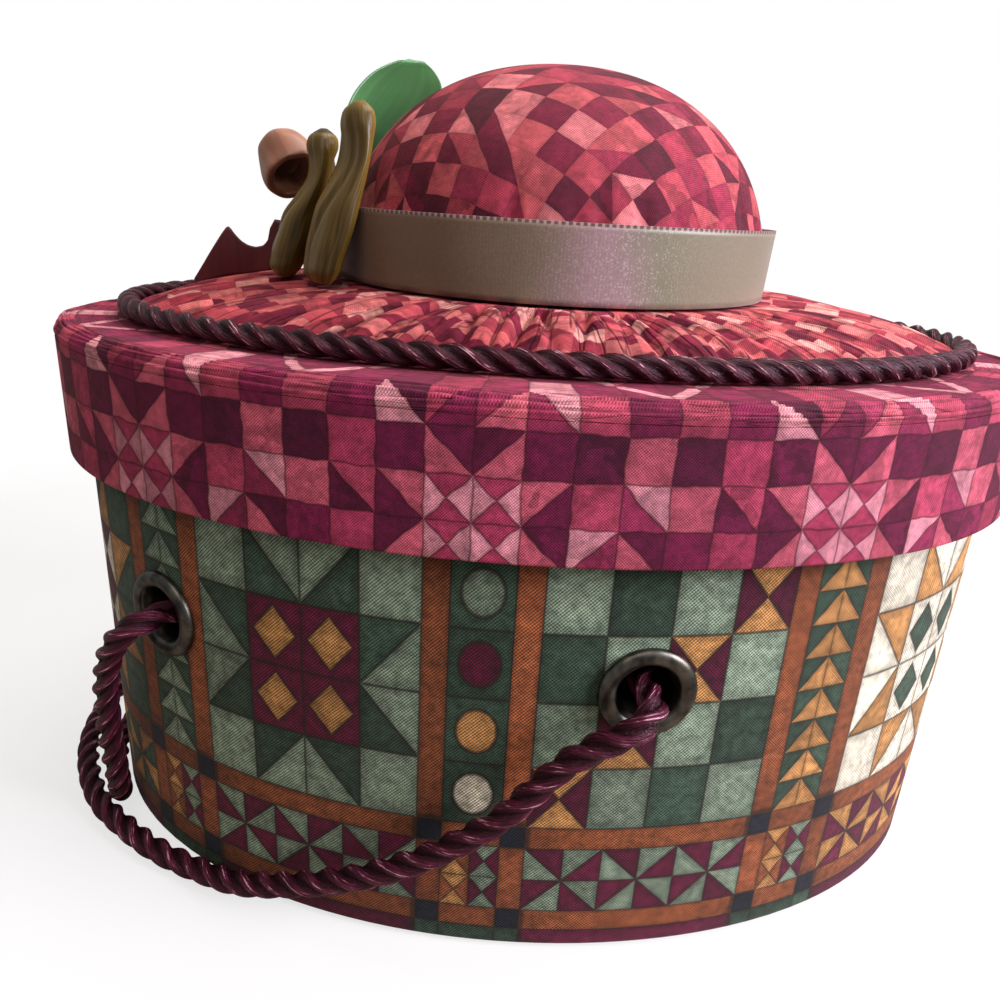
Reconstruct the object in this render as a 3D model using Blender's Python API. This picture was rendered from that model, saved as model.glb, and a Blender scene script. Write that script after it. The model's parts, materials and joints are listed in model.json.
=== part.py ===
"""Oval sewing basket: a fabric-covered card box with a hat-shaped lift-off lid and a lift-out tray.

Metres, +Z up, +X along the oval's long axis, the origin on the standing surface below the centre.
Every layer of the lid and the box is placed by its inset from the lid's outer oval and by its height.
"""

import math

import bmesh
import bpy
from mathutils import Matrix, Vector
from mathutils.geometry import interpolate_bezier

# Overall sizes, read from the outside of the basket
LID_HALF_LENGTH = 0.150
LID_HALF_WIDTH = 0.097
LID_TOP_HEIGHT = 0.1615
LID_SKIRT_DEPTH = 0.0390
LID_EDGE_RADIUS = 0.0037

# Layers that lid and box are built up from
FABRIC = 0.0007
GLUE_LINE = 0.0003
LID_CARD = 0.0022
LID_LINING = 0.0006
LID_RUNNING_GAP = 0.0007
BOX_CARD = 0.0026
BOX_LINING = 0.0030
BASE_CARD = 0.0026
BASE_PAD = 0.0030
TOP_CARD = 0.0025

# Turned edges of the covers
LID_HEM = 0.0100
RIM_HEM = 0.0160
BASE_HEM = 0.0120
BASE_COVER_SETBACK = 0.0015
TRAY_LEDGE_DEPTH = 0.0120
BASE_PAD_EDGE = 0.0012

# Lift-out tray
TRAY_CLEARANCE = 0.0010
TRAY_WALL = 0.0016
TRAY_RIM = 0.0015
TRAY_DEPTH = 0.0300
TRAY_DRAFT = 0.0030
TRAY_FOOT_RADIUS = 0.0025
TRAY_DIVIDER = 0.0016
TRAY_END_BAY = 0.0450
TRAY_TOOL_LANE = 0.0400

# Eyelets for the rope handles
EYELET_BORE = 0.0150
EYELET_BARREL_WALL = 0.0007
EYELET_DIAMETER = 0.0256
EYELET_DOME = 0.0023
EYELET_EDGE = 0.0006
EYELET_CLINCH_REACH = 0.0016
EYELET_CLINCH = 0.0006
EYELET_DROP = 0.0360
WASHER_THICKNESS = 0.0007
EYELET_ANGLES = {"front_left": -136.0, "front_right": -79.0, "back_right": 44.0, "back_left": 101.0}

# Crown, ribbon and brim of the hat
CROWN_RADIUS = 0.0640
CROWN_HEIGHT = 0.0600
CROWN_WALL = 0.0075
CROWN_FULLNESS = 0.90
BRIM_CORD_DIAMETER = 0.0065
BRIM_CORD_HALF_LENGTH = 0.1295
BRIM_CORD_HALF_WIDTH = 0.0760
BRIM_RISE = 0.0110
BRIM_EDGE_HEIGHT = 0.0036
BRIM_PLEATS = 24
BRIM_PLEAT_DEPTH = 0.0007
RIBBON_WIDTH = 0.0195
RIBBON_THICKNESS = 0.0009
RIBBON_FLARE = 0.0010

# Rope handle
ROPE_DIAMETER = 0.0075
KNOT_DIAMETER = 0.0185
KNOT_LENGTH = 0.0150
KNOT_TAIL = 0.0060

# Trimmings at the left of the crown, by angle round the crown in degrees
BOW_KNOT_ANGLE = 183.5
BOW_KNOT_THICKNESS = 0.0030
BOW_KNOT_WIDTH = 0.0140
BOW_KNOT_HEIGHT = 0.0340
INNER_LOOP_ANGLE = 212.5
INNER_LOOP_REACH = 0.0063
INNER_LOOP_HEIGHT = 0.0450
INNER_LOOP_LEAN = 0.0102
OUTER_LOOP_ANGLE = 196.5
OUTER_LOOP_REACH = 0.0119
OUTER_LOOP_HEIGHT = 0.0392
OUTER_LOOP_LEAN = 0.0105
OUTER_LOOP_DROP = 0.0003
INNER_LOOP_THICKNESS = 0.0086
OUTER_LOOP_THICKNESS = 0.0100
LOOP_WIDTH = 0.0205
LEAF_THICKNESS = 0.0012
ROSETTE_RADIUS = 0.0092
ROSETTE_WALL = 0.0013
ROSETTE_LENGTH = 0.0130
ROSETTE_RISE = 0.0300
ROSETTE_AIM = (0.30, -0.80, -0.45)
TAIL_START = 0.0175
TAIL_THICKNESS = 0.0010
TAIL_REACH = 0.0260
TAIL_HEIGHT = 0.0115

OVAL_SEGMENTS = 60
BRIM_SEGMENTS = 96
ROUND_SEGMENTS = 20
CUT_OVERRUN = 0.0040

# The handle's route from knot to knot, chosen by hand, in metres
HANDLE_ROUTE = [
    (0.0262, -0.0789, 0.0865),
    (0.0275, -0.0895, 0.0865),
    (0.0278, -0.0975, 0.0860),
    (0.0225, -0.1020, 0.0830),
    (0.0145, -0.1010, 0.0775),
    (0.0065, -0.1000, 0.0700),
    (-0.0087, -0.0990, 0.0515),
    (-0.0277, -0.0970, 0.0360),
    (-0.0500, -0.0925, 0.0228),
    (-0.0783, -0.0828, 0.0095),
    (-0.0969, -0.0735, 0.0043),
    (-0.1118, -0.0668, 0.0040),
    (-0.1250, -0.0585, 0.0040),
    (-0.1393, -0.0470, 0.0040),
    (-0.1508, -0.0315, 0.0040),
    (-0.1590, -0.0130, 0.0040),
    (-0.1630, 0.0100, 0.0040),
    (-0.1632, 0.0320, 0.0040),
    (-0.1610, 0.0500, 0.0040),
    (-0.1530, 0.0620, 0.0040),
    (-0.1425, 0.0640, 0.0040),
    (-0.1325, 0.0575, 0.0040),
    (-0.1305, 0.0460, 0.0040),
    (-0.1375, 0.0365, 0.0040),
    (-0.1440, 0.0250, 0.0040),
    (-0.1482, 0.0080, 0.0040),
    (-0.1480, -0.0090, 0.0040),
    (-0.1440, -0.0250, 0.0040),
    (-0.1378, -0.0368, 0.0042),
    (-0.1325, -0.0460, 0.0085),
    (-0.1290, -0.0530, 0.0200),
    (-0.1270, -0.0575, 0.0350),
    (-0.1250, -0.0612, 0.0500),
    (-0.1222, -0.0648, 0.0640),
    (-0.1175, -0.0690, 0.0765),
    (-0.1120, -0.0712, 0.0842),
    (-0.1075, -0.0692, 0.0865),
    (-0.1037, -0.0634, 0.0865),
    (-0.0980, -0.0547, 0.0865),
]
HANDLE_STEPS = 2

# Insets from the lid's outer oval, layer by layer
LID_COVER_BACK = FABRIC
LID_CARD_FRONT = LID_COVER_BACK + GLUE_LINE
LID_CARD_BACK = LID_CARD_FRONT + LID_CARD
LID_HEM_FRONT = LID_CARD_BACK + GLUE_LINE
LID_HEM_BACK = LID_HEM_FRONT + FABRIC
LID_LINING_FRONT = LID_HEM_BACK + GLUE_LINE
LID_LINING_BACK = LID_LINING_FRONT + LID_LINING
BOX_FACE = LID_LINING_BACK + LID_RUNNING_GAP
BOX_COVER_BACK = BOX_FACE + FABRIC
BOX_CARD_FRONT = BOX_COVER_BACK + GLUE_LINE
BOX_CARD_BACK = BOX_CARD_FRONT + BOX_CARD
BOX_HEM_FRONT = BOX_CARD_BACK + GLUE_LINE
BOX_HEM_BACK = BOX_HEM_FRONT + FABRIC
BOX_LINING_FRONT = BOX_HEM_BACK + GLUE_LINE
BOX_LINING_BACK = BOX_LINING_FRONT + BOX_LINING
TRAY_RIM_EDGE = BOX_HEM_BACK + TRAY_CLEARANCE
TRAY_FACE = BOX_LINING_BACK + TRAY_CLEARANCE

# Heights above the standing surface, from the bottom up and from the lid's top down
BASE_HEM_BOTTOM = FABRIC + GLUE_LINE
BASE_HEM_TOP = BASE_HEM_BOTTOM + FABRIC
CARD_BOTTOM = BASE_HEM_TOP + GLUE_LINE
BASE_CARD_TOP = CARD_BOTTOM + BASE_CARD
INSIDE_BOTTOM = BASE_CARD_TOP + GLUE_LINE
LID_BOTTOM = LID_TOP_HEIGHT - LID_SKIRT_DEPTH
EYELET_HEIGHT = LID_BOTTOM - EYELET_DROP
TOP_CARD_TOP = LID_TOP_HEIGHT - FABRIC - GLUE_LINE
TOP_CARD_BOTTOM = TOP_CARD_TOP - TOP_CARD
LID_LINING_TOP = TOP_CARD_BOTTOM - GLUE_LINE
LID_LINING_BOTTOM = LID_LINING_TOP - LID_LINING
BAND_TOP = LID_TOP_HEIGHT - LID_EDGE_RADIUS - FABRIC
RIM_TOP = LID_LINING_BOTTOM - GLUE_LINE
WALL_TOP = RIM_TOP - FABRIC - GLUE_LINE
LEDGE_TOP = RIM_TOP - TRAY_LEDGE_DEPTH
TRAY_RIM_BOTTOM = LEDGE_TOP + GLUE_LINE
TRAY_RIM_TOP = TRAY_RIM_BOTTOM + TRAY_RIM
TRAY_BOTTOM = TRAY_RIM_TOP - TRAY_DEPTH
BRIM_BOTTOM = LID_TOP_HEIGHT + GLUE_LINE
BRIM_CORD_CENTRE = BRIM_BOTTOM + BRIM_CORD_DIAMETER / 2
BRIM_EDGE_TOP = BRIM_BOTTOM + BRIM_EDGE_HEIGHT
BRIM_TOP = BRIM_EDGE_TOP + BRIM_RISE
CROWN_BOTTOM = BRIM_TOP + GLUE_LINE
RIBBON_INSIDE = CROWN_RADIUS + GLUE_LINE
RIBBON_OUTSIDE = RIBBON_INSIDE + RIBBON_THICKNESS + RIBBON_FLARE
TRIM_RADIUS = RIBBON_OUTSIDE + GLUE_LINE


def clear_scene():
    """Remove every object of the start-up scene."""
    for old in list(bpy.data.objects):
        bpy.data.objects.remove(old, do_unlink=True)


def finish(name, colour, roughness, metallic=0.0):
    """A Principled material in a linear colour."""
    material = bpy.data.materials.new(name)
    material.use_nodes = True
    shader = material.node_tree.nodes["Principled BSDF"]
    shader.inputs["Base Color"].default_value = (*colour, 1.0)
    shader.inputs["Roughness"].default_value = roughness
    shader.inputs["Metallic"].default_value = metallic
    material.diffuse_color = (*colour, 1.0)
    return material


def finishes():
    """The materials of the whole basket, by name."""
    return {
        "card": finish("grey_board", (0.36, 0.30, 0.22), 0.9),
        "print": finish("printed_cotton", (0.16, 0.19, 0.12), 0.85),
        "rose": finish("patchwork_cotton", (0.30, 0.04, 0.08), 0.85),
        "lining": finish("lining_satin", (0.45, 0.36, 0.28), 0.5),
        "cord": finish("rayon_cord", (0.08, 0.01, 0.03), 0.4),
        "ribbon": finish("shot_satin_ribbon", (0.16, 0.13, 0.08), 0.4),
        "leaf": finish("green_satin", (0.05, 0.18, 0.06), 0.4),
        "loop": finish("gold_organza", (0.20, 0.16, 0.06), 0.4),
        "rosette": finish("dusty_rose_satin", (0.32, 0.14, 0.11), 0.45),
        "tail": finish("dark_red_satin", (0.09, 0.01, 0.01), 0.45),
        "brass": finish("antique_brass", (0.10, 0.09, 0.06), 0.35, 0.9),
        "tray": finish("cream_plastic", (0.75, 0.68, 0.52), 0.35),
    }


def add_solid(name, mesh_data, material, parent, origin=(0.0, 0.0, 0.0)):
    """Make an object of a bmesh given in world places, with its origin where it is carried."""
    bmesh.ops.transform(mesh_data, matrix=Matrix.Translation(-Vector(origin)), verts=mesh_data.verts)
    mesh = bpy.data.meshes.new(name)
    mesh_data.to_mesh(mesh)
    mesh_data.free()
    mesh.materials.append(material)
    mesh.shade_smooth()
    mesh.set_sharp_from_angle(angle=math.radians(35.0))
    solid = bpy.data.objects.new(name, mesh)
    bpy.context.scene.collection.objects.link(solid)
    solid.location = origin
    solid.parent = parent
    return solid


def add_group(name):
    """An empty that the pieces of one moving sub-assembly hang from."""
    group = bpy.data.objects.new(name, None)
    bpy.context.scene.collection.objects.link(group)
    return group


def oval(half_length, half_width, height, segments=OVAL_SEGMENTS):
    """One level ring of points round an oval."""
    turns = [2.0 * math.pi * step / segments for step in range(segments)]
    return [Vector((half_length * math.cos(turn), half_width * math.sin(turn), height)) for turn in turns]


def inset_oval(inset, height, segments=OVAL_SEGMENTS):
    """A ring at an inset from the lid's outer oval."""
    return oval(LID_HALF_LENGTH - inset, LID_HALF_WIDTH - inset, height, segments)


def loft(rings, closed=False):
    """Skin a row of rings: closed joins the last to the first, otherwise both ends get a cap."""
    skin = bmesh.new()
    loops = [[skin.verts.new(point) for point in ring] for ring in rings]
    following = loops[1:] + loops[:1] if closed else loops[1:]
    for lower, upper in zip(loops, following):
        for index, corner in enumerate(lower):
            after = (index + 1) % len(lower)
            skin.faces.new((corner, lower[after], upper[after], upper[index]))
    if not closed:
        skin.faces.new(list(reversed(loops[0])))
        skin.faces.new(loops[-1])
    bmesh.ops.recalc_face_normals(skin, faces=skin.faces)
    return skin


def shell(profile):
    """A closed oval wall from its section, given as (inset, height) corners."""
    return loft([inset_oval(inset, height) for inset, height in profile], closed=True)


def slab(profile):
    """A solid oval from the (inset, height) corners of its edge, bottom to top."""
    return loft([inset_oval(inset, height) for inset, height in profile])


def corner_arc(inset, height, radius, start, end, steps=3):
    """Points of a quarter round about (inset, height): 0 degrees points outwards and 90 up."""
    angles = [math.radians(start + (end - start) * step / steps) for step in range(steps + 1)]
    return [(inset - radius * math.cos(angle), height + radius * math.sin(angle)) for angle in angles]


def lathe(profile, place, segments=ROUND_SEGMENTS):
    """A closed ring turned about its own Z from (radius, height) corners, then put in place."""
    ring = loft([oval(radius, radius, height, segments) for radius, height in profile], closed=True)
    bmesh.ops.transform(ring, matrix=place, verts=ring.verts)
    return ring


def turned(profile, place, segments=ROUND_SEGMENTS):
    """A solid of revolution about its own Z from (radius, height) corners, then put in place."""
    body = loft([oval(radius, radius, height, segments) for radius, height in profile])
    bmesh.ops.transform(body, matrix=place, verts=body.verts)
    return body


def cut(solid, cutter_name, cutter_mesh):
    """Cut a hidden helper out of a solid with an exact Boolean."""
    mesh = bpy.data.meshes.new(cutter_name)
    cutter_mesh.to_mesh(mesh)
    cutter_mesh.free()
    cutter = bpy.data.objects.new(cutter_name, mesh)
    bpy.context.scene.collection.objects.link(cutter)
    cutter.hide_render = True
    cutter.display_type = "WIRE"
    boolean = solid.modifiers.new(cutter_name, "BOOLEAN")
    boolean.operation = "DIFFERENCE"
    boolean.solver = "EXACT"
    boolean.object = cutter


def oval_radius(half_length, half_width, angle):
    """Radius of curvature of an oval at an angle of its parameter."""
    along = (half_length * math.sin(angle)) ** 2 + (half_width * math.cos(angle)) ** 2
    return along**1.5 / (half_length * half_width)


def wall_place(angle, inset, height):
    """A frame on the wall whose Z points straight out of it."""
    half_length = LID_HALF_LENGTH - inset
    half_width = LID_HALF_WIDTH - inset
    outward = Vector((math.cos(angle) / half_length, math.sin(angle) / half_width, 0.0)).normalized()
    point = Vector((half_length * math.cos(angle), half_width * math.sin(angle), height))
    turn = outward.to_track_quat("Z", "Y").to_matrix().to_4x4()
    return Matrix.Translation(point) @ turn


def eyelet_depths(angle):
    """How far behind the wall's face the washer, the clinch and the rope's knot begin."""
    lining_half_length = LID_HALF_LENGTH - BOX_LINING_BACK
    lining_half_width = LID_HALF_WIDTH - BOX_LINING_BACK
    radius = oval_radius(lining_half_length, lining_half_width, angle)
    bulge = radius - math.sqrt(radius**2 - (EYELET_DIAMETER / 2) ** 2)
    washer = BOX_LINING_BACK - BOX_FACE + bulge + GLUE_LINE
    clinch = washer + WASHER_THICKNESS + GLUE_LINE
    return washer, clinch, clinch + EYELET_CLINCH + GLUE_LINE


def eyelet_cutter(angle):
    """The round hole through every layer of the wall at one eyelet."""
    radius = EYELET_BORE / 2 + EYELET_BARREL_WALL + GLUE_LINE
    depth = BOX_LINING_BACK - BOX_FACE + CUT_OVERRUN
    place = wall_place(angle, BOX_FACE, EYELET_HEIGHT)
    return turned([(radius, -depth), (radius, CUT_OVERRUN)], place)


def cut_eyelet_holes(solid):
    """Punch the four eyelet holes through one layer of the wall."""
    for name, degrees in EYELET_ANGLES.items():
        cut(solid, f"{solid.name}_{name}_hole", eyelet_cutter(math.radians(degrees)))


def build_box(looks, group):
    """Card walls and base, their fabric covers and the padded lining that carries the tray."""
    wall = shell(
        [
            (BOX_CARD_FRONT, CARD_BOTTOM),
            (BOX_CARD_FRONT, WALL_TOP),
            (BOX_CARD_BACK, WALL_TOP),
            (BOX_CARD_BACK, CARD_BOTTOM),
        ]
    )
    cut_eyelet_holes(add_solid("wall_board", wall, looks["card"], group))
    base_inset = BOX_CARD_BACK + GLUE_LINE
    base = slab([(base_inset, CARD_BOTTOM), (base_inset, BASE_CARD_TOP)])
    add_solid("base_board", base, looks["card"], group)
    cover = shell(
        [
            (BOX_FACE + BASE_HEM, BASE_HEM_BOTTOM),
            (BOX_FACE + FABRIC, BASE_HEM_BOTTOM),
            (BOX_FACE, BASE_HEM_TOP),
            (BOX_FACE, RIM_TOP - FABRIC),
            (BOX_COVER_BACK, RIM_TOP),
            (BOX_HEM_FRONT, RIM_TOP),
            (BOX_HEM_BACK, RIM_TOP - FABRIC),
            (BOX_HEM_BACK, RIM_TOP - RIM_HEM),
            (BOX_HEM_FRONT, RIM_TOP - RIM_HEM),
            (BOX_HEM_FRONT, RIM_TOP - FABRIC),
            (BOX_COVER_BACK, RIM_TOP - FABRIC),
            (BOX_COVER_BACK, BASE_HEM_TOP),
            (BOX_FACE + BASE_HEM, BASE_HEM_TOP),
        ]
    )
    cut_eyelet_holes(add_solid("outer_cover", cover, looks["print"], group))
    under = slab([(BOX_FACE + BASE_COVER_SETBACK, 0.0), (BOX_FACE + BASE_COVER_SETBACK, FABRIC)])
    add_solid("base_cover", under, looks["print"], group)
    lining = shell(
        [
            (BOX_LINING_FRONT, INSIDE_BOTTOM),
            (BOX_LINING_FRONT, LEDGE_TOP),
            (BOX_LINING_BACK, LEDGE_TOP),
            (BOX_LINING_BACK, INSIDE_BOTTOM),
        ]
    )
    cut_eyelet_holes(add_solid("wall_lining", lining, looks["lining"], group))
    pad_inset = BOX_LINING_BACK + GLUE_LINE
    pad = slab(
        [
            (pad_inset, INSIDE_BOTTOM),
            (pad_inset, INSIDE_BOTTOM + BASE_PAD - BASE_PAD_EDGE),
            (pad_inset + BASE_PAD_EDGE, INSIDE_BOTTOM + BASE_PAD),
        ]
    )
    add_solid("base_lining", pad, looks["lining"], group)


def build_eyelets(looks, group):
    """Four domed eyelets, each clinched over a washer inside the box."""
    bore = EYELET_BORE / 2
    barrel = bore + EYELET_BARREL_WALL
    flange = EYELET_DIAMETER / 2
    crest = (barrel + flange) / 2
    for name, degrees in EYELET_ANGLES.items():
        angle = math.radians(degrees)
        washer_depth, clinch_depth, _ = eyelet_depths(angle)
        place = wall_place(angle, BOX_FACE, EYELET_HEIGHT)
        eyelet = lathe(
            [
                (bore, -clinch_depth - EYELET_CLINCH),
                (barrel + EYELET_CLINCH_REACH, -clinch_depth - EYELET_CLINCH),
                (barrel + EYELET_CLINCH_REACH, -clinch_depth),
                (barrel, -clinch_depth),
                (barrel, GLUE_LINE),
                (flange, GLUE_LINE),
                (flange, GLUE_LINE + EYELET_EDGE),
                ((crest + flange) / 2, EYELET_DOME - EYELET_EDGE / 2),
                (crest, EYELET_DOME),
                ((crest + bore) / 2, EYELET_DOME - EYELET_EDGE / 2),
                (bore, GLUE_LINE + EYELET_EDGE),
            ],
            place,
        )
        add_solid(f"eyelet_{name}", eyelet, looks["brass"], group, place.translation)
        washer_bore = barrel + GLUE_LINE
        washer = lathe(
            [
                (washer_bore, -washer_depth - WASHER_THICKNESS),
                (flange, -washer_depth - WASHER_THICKNESS),
                (flange, -washer_depth),
                (washer_bore, -washer_depth),
            ],
            place,
        )
        add_solid(f"washer_{name}", washer, looks["brass"], group, place.translation)


def handle_points():
    """The handle's centre line: smooth spans between the chosen points of its route."""
    route = [Vector(point) for point in HANDLE_ROUTE]
    slopes = [(after - before) / 2 for before, after in zip(route, route[2:])]
    slopes = [route[1] - route[0], *slopes, route[-1] - route[-2]]
    points = [route[0]]
    for index in range(len(route) - 1):
        start, end = route[index], route[index + 1]
        lead, trail = slopes[index] / 3, slopes[index + 1] / 3
        span = interpolate_bezier(start, start + lead, end - trail, end, HANDLE_STEPS + 1)
        points.extend(span[1:])
    return points


def build_handle(looks, group):
    """The rope handle and the two knots that stop its ends inside the box."""
    points = handle_points()
    curve = bpy.data.curves.new("handle_rope", "CURVE")
    curve.dimensions = "3D"
    curve.bevel_depth = ROPE_DIAMETER / 2
    curve.bevel_resolution = 2
    curve.use_fill_caps = True
    spline = curve.splines.new("POLY")
    spline.points.add(len(points) - 1)
    for knot, point in zip(spline.points, points):
        knot.co = (*point, 1.0)
    curve.materials.append(looks["cord"])
    rope = bpy.data.objects.new("handle_rope", curve)
    bpy.context.scene.collection.objects.link(rope)
    rope.parent = group
    ends = {"right": (points[0], points[1]), "left": (points[-1], points[-2])}
    radius = KNOT_DIAMETER / 2
    knot_shares = [(0.80, 0.08), (1.00, 0.30), (0.90, 0.50), (0.97, 0.70), (0.72, 0.95)]
    for name, (end, inner) in ends.items():
        backward = (end - inner).normalized()
        turn = backward.to_track_quat("Z", "Y").to_matrix().to_4x4()
        place = Matrix.Translation(end + backward * GLUE_LINE) @ turn
        lumps = [(radius * reach, KNOT_LENGTH * rise) for reach, rise in knot_shares]
        ends_of_knot = [(ROPE_DIAMETER / 2, KNOT_LENGTH), (ROPE_DIAMETER / 2, KNOT_LENGTH + KNOT_TAIL)]
        knot = turned([(ROPE_DIAMETER / 2, 0.0), *lumps, *ends_of_knot], place)
        add_solid(f"handle_knot_{name}", knot, looks["cord"], group, place.translation)


def build_tray(looks, group):
    """The moulded lift-out tray: seven bays inside one rim that rests on the lining's top edge."""
    rim_back = TRAY_FACE + TRAY_WALL
    tray = slab(
        [
            (TRAY_FACE + TRAY_DRAFT + TRAY_FOOT_RADIUS, TRAY_BOTTOM),
            (TRAY_FACE + TRAY_DRAFT, TRAY_BOTTOM + TRAY_FOOT_RADIUS),
            (TRAY_FACE, TRAY_RIM_BOTTOM),
            (TRAY_RIM_EDGE, TRAY_RIM_BOTTOM),
            (TRAY_RIM_EDGE, TRAY_RIM_TOP),
        ]
    )
    solid = add_solid("tray", tray, looks["tray"], group)
    end_wall = LID_HALF_LENGTH - rim_back - TRAY_END_BAY
    lane = TRAY_TOOL_LANE / 2
    half_divider = TRAY_DIVIDER / 2
    bays = {
        "end_left_front": (None, -end_wall - half_divider, None, -half_divider),
        "end_left_back": (None, -end_wall - half_divider, half_divider, None),
        "end_right_front": (end_wall + half_divider, None, None, -half_divider),
        "end_right_back": (end_wall + half_divider, None, half_divider, None),
        "front": (-end_wall + half_divider, end_wall - half_divider, None, -lane - half_divider),
        "lane": (-end_wall + half_divider, end_wall - half_divider, -lane + half_divider, lane - half_divider),
        "back": (-end_wall + half_divider, end_wall - half_divider, lane + half_divider, None),
    }
    for name, limits in bays.items():
        cut(solid, f"tray_bay_{name}", tray_bay(rim_back, limits))


def tray_bay(rim_back, limits):
    """One bay of the tray: the inner oval, trimmed at its dividers."""
    floor = TRAY_BOTTOM + TRAY_WALL
    bay = slab(
        [
            (rim_back + TRAY_DRAFT, floor),
            (rim_back, TRAY_RIM_TOP),
            (rim_back, TRAY_RIM_TOP + CUT_OVERRUN),
        ]
    )
    low_x, high_x, low_y, high_y = limits
    planes = [(low_x, (1, 0, 0)), (high_x, (-1, 0, 0)), (low_y, (0, 1, 0)), (high_y, (0, -1, 0))]
    for place, keep in planes:
        if place is None:
            continue
        inward = Vector(keep)
        point = Vector((abs(keep[0]) * place, abs(keep[1]) * place, 0.0))
        geometry = bay.verts[:] + bay.edges[:] + bay.faces[:]
        trimmed = bmesh.ops.bisect_plane(
            bay, geom=geometry, plane_co=point, plane_no=inward, clear_inner=True
        )
        edges = [piece for piece in trimmed["geom_cut"] if isinstance(piece, bmesh.types.BMEdge)]
        bmesh.ops.contextual_create(bay, geom=edges)
    bmesh.ops.recalc_face_normals(bay, faces=bay.faces)
    return bay


def build_lid_box(looks, group):
    """The lid's card top and skirt with their covers and linings."""
    edge = corner_arc(LID_EDGE_RADIUS, LID_TOP_HEIGHT - LID_EDGE_RADIUS, LID_EDGE_RADIUS, 0.0, 90.0)
    card_radius = LID_EDGE_RADIUS - FABRIC - GLUE_LINE
    back_radius = LID_EDGE_RADIUS - FABRIC
    back = corner_arc(LID_EDGE_RADIUS, LID_TOP_HEIGHT - LID_EDGE_RADIUS, back_radius, 90.0, 0.0)
    top_cover = slab([*back, (LID_COVER_BACK, BAND_TOP), (0.0, BAND_TOP), *edge])
    add_solid("lid_top_cover", top_cover, looks["rose"], group)
    top_card = slab(
        [(LID_CARD_FRONT, TOP_CARD_BOTTOM)]
        + corner_arc(LID_CARD_FRONT + card_radius, TOP_CARD_TOP - card_radius, card_radius, 0.0, 90.0)
    )
    add_solid("lid_top_board", top_card, looks["card"], group)
    card_bottom = LID_BOTTOM + FABRIC + GLUE_LINE
    skirt = shell(
        [
            (LID_CARD_FRONT, card_bottom),
            (LID_CARD_FRONT, LID_LINING_TOP),
            (LID_CARD_BACK, LID_LINING_TOP),
            (LID_CARD_BACK, card_bottom),
        ]
    )
    add_solid("lid_wall_board", skirt, looks["card"], group)
    band = shell(
        [
            (FABRIC, LID_BOTTOM),
            (0.0, LID_BOTTOM + FABRIC),
            (0.0, BAND_TOP - GLUE_LINE),
            (LID_COVER_BACK, BAND_TOP - GLUE_LINE),
            (LID_COVER_BACK, LID_BOTTOM + FABRIC),
            (LID_HEM_FRONT, LID_BOTTOM + FABRIC),
            (LID_HEM_FRONT, LID_BOTTOM + LID_HEM),
            (LID_HEM_BACK, LID_BOTTOM + LID_HEM),
            (LID_HEM_BACK, LID_BOTTOM),
        ]
    )
    add_solid("lid_band_cover", band, looks["rose"], group)
    lining_inset = LID_CARD_BACK + GLUE_LINE
    top_lining = slab([(lining_inset, LID_LINING_BOTTOM), (lining_inset, LID_LINING_TOP)])
    add_solid("lid_top_lining", top_lining, looks["lining"], group)
    skirt_lining = shell(
        [
            (LID_LINING_FRONT, LID_BOTTOM + FABRIC),
            (LID_LINING_FRONT, LID_LINING_BOTTOM - GLUE_LINE),
            (LID_LINING_BACK, LID_LINING_BOTTOM - GLUE_LINE),
            (LID_LINING_BACK, LID_BOTTOM + FABRIC),
        ]
    )
    add_solid("lid_skirt_lining", skirt_lining, looks["lining"], group)


def brim_ring(share, height, pleat):
    """A ring of the padded brim, part way from the cord's oval to the round crown."""
    edge_length = BRIM_CORD_HALF_LENGTH - BRIM_CORD_DIAMETER / 2 - GLUE_LINE
    edge_width = BRIM_CORD_HALF_WIDTH - BRIM_CORD_DIAMETER / 2 - GLUE_LINE
    seat = RIBBON_OUTSIDE + RIBBON_THICKNESS
    half_length = edge_length + (seat - edge_length) * share
    half_width = edge_width + (seat - edge_width) * share
    ring = oval(half_length, half_width, height, BRIM_SEGMENTS)
    for index, point in enumerate(ring):
        point.z += pleat * math.cos(BRIM_PLEATS * 2.0 * math.pi * index / BRIM_SEGMENTS)
    return ring


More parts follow.
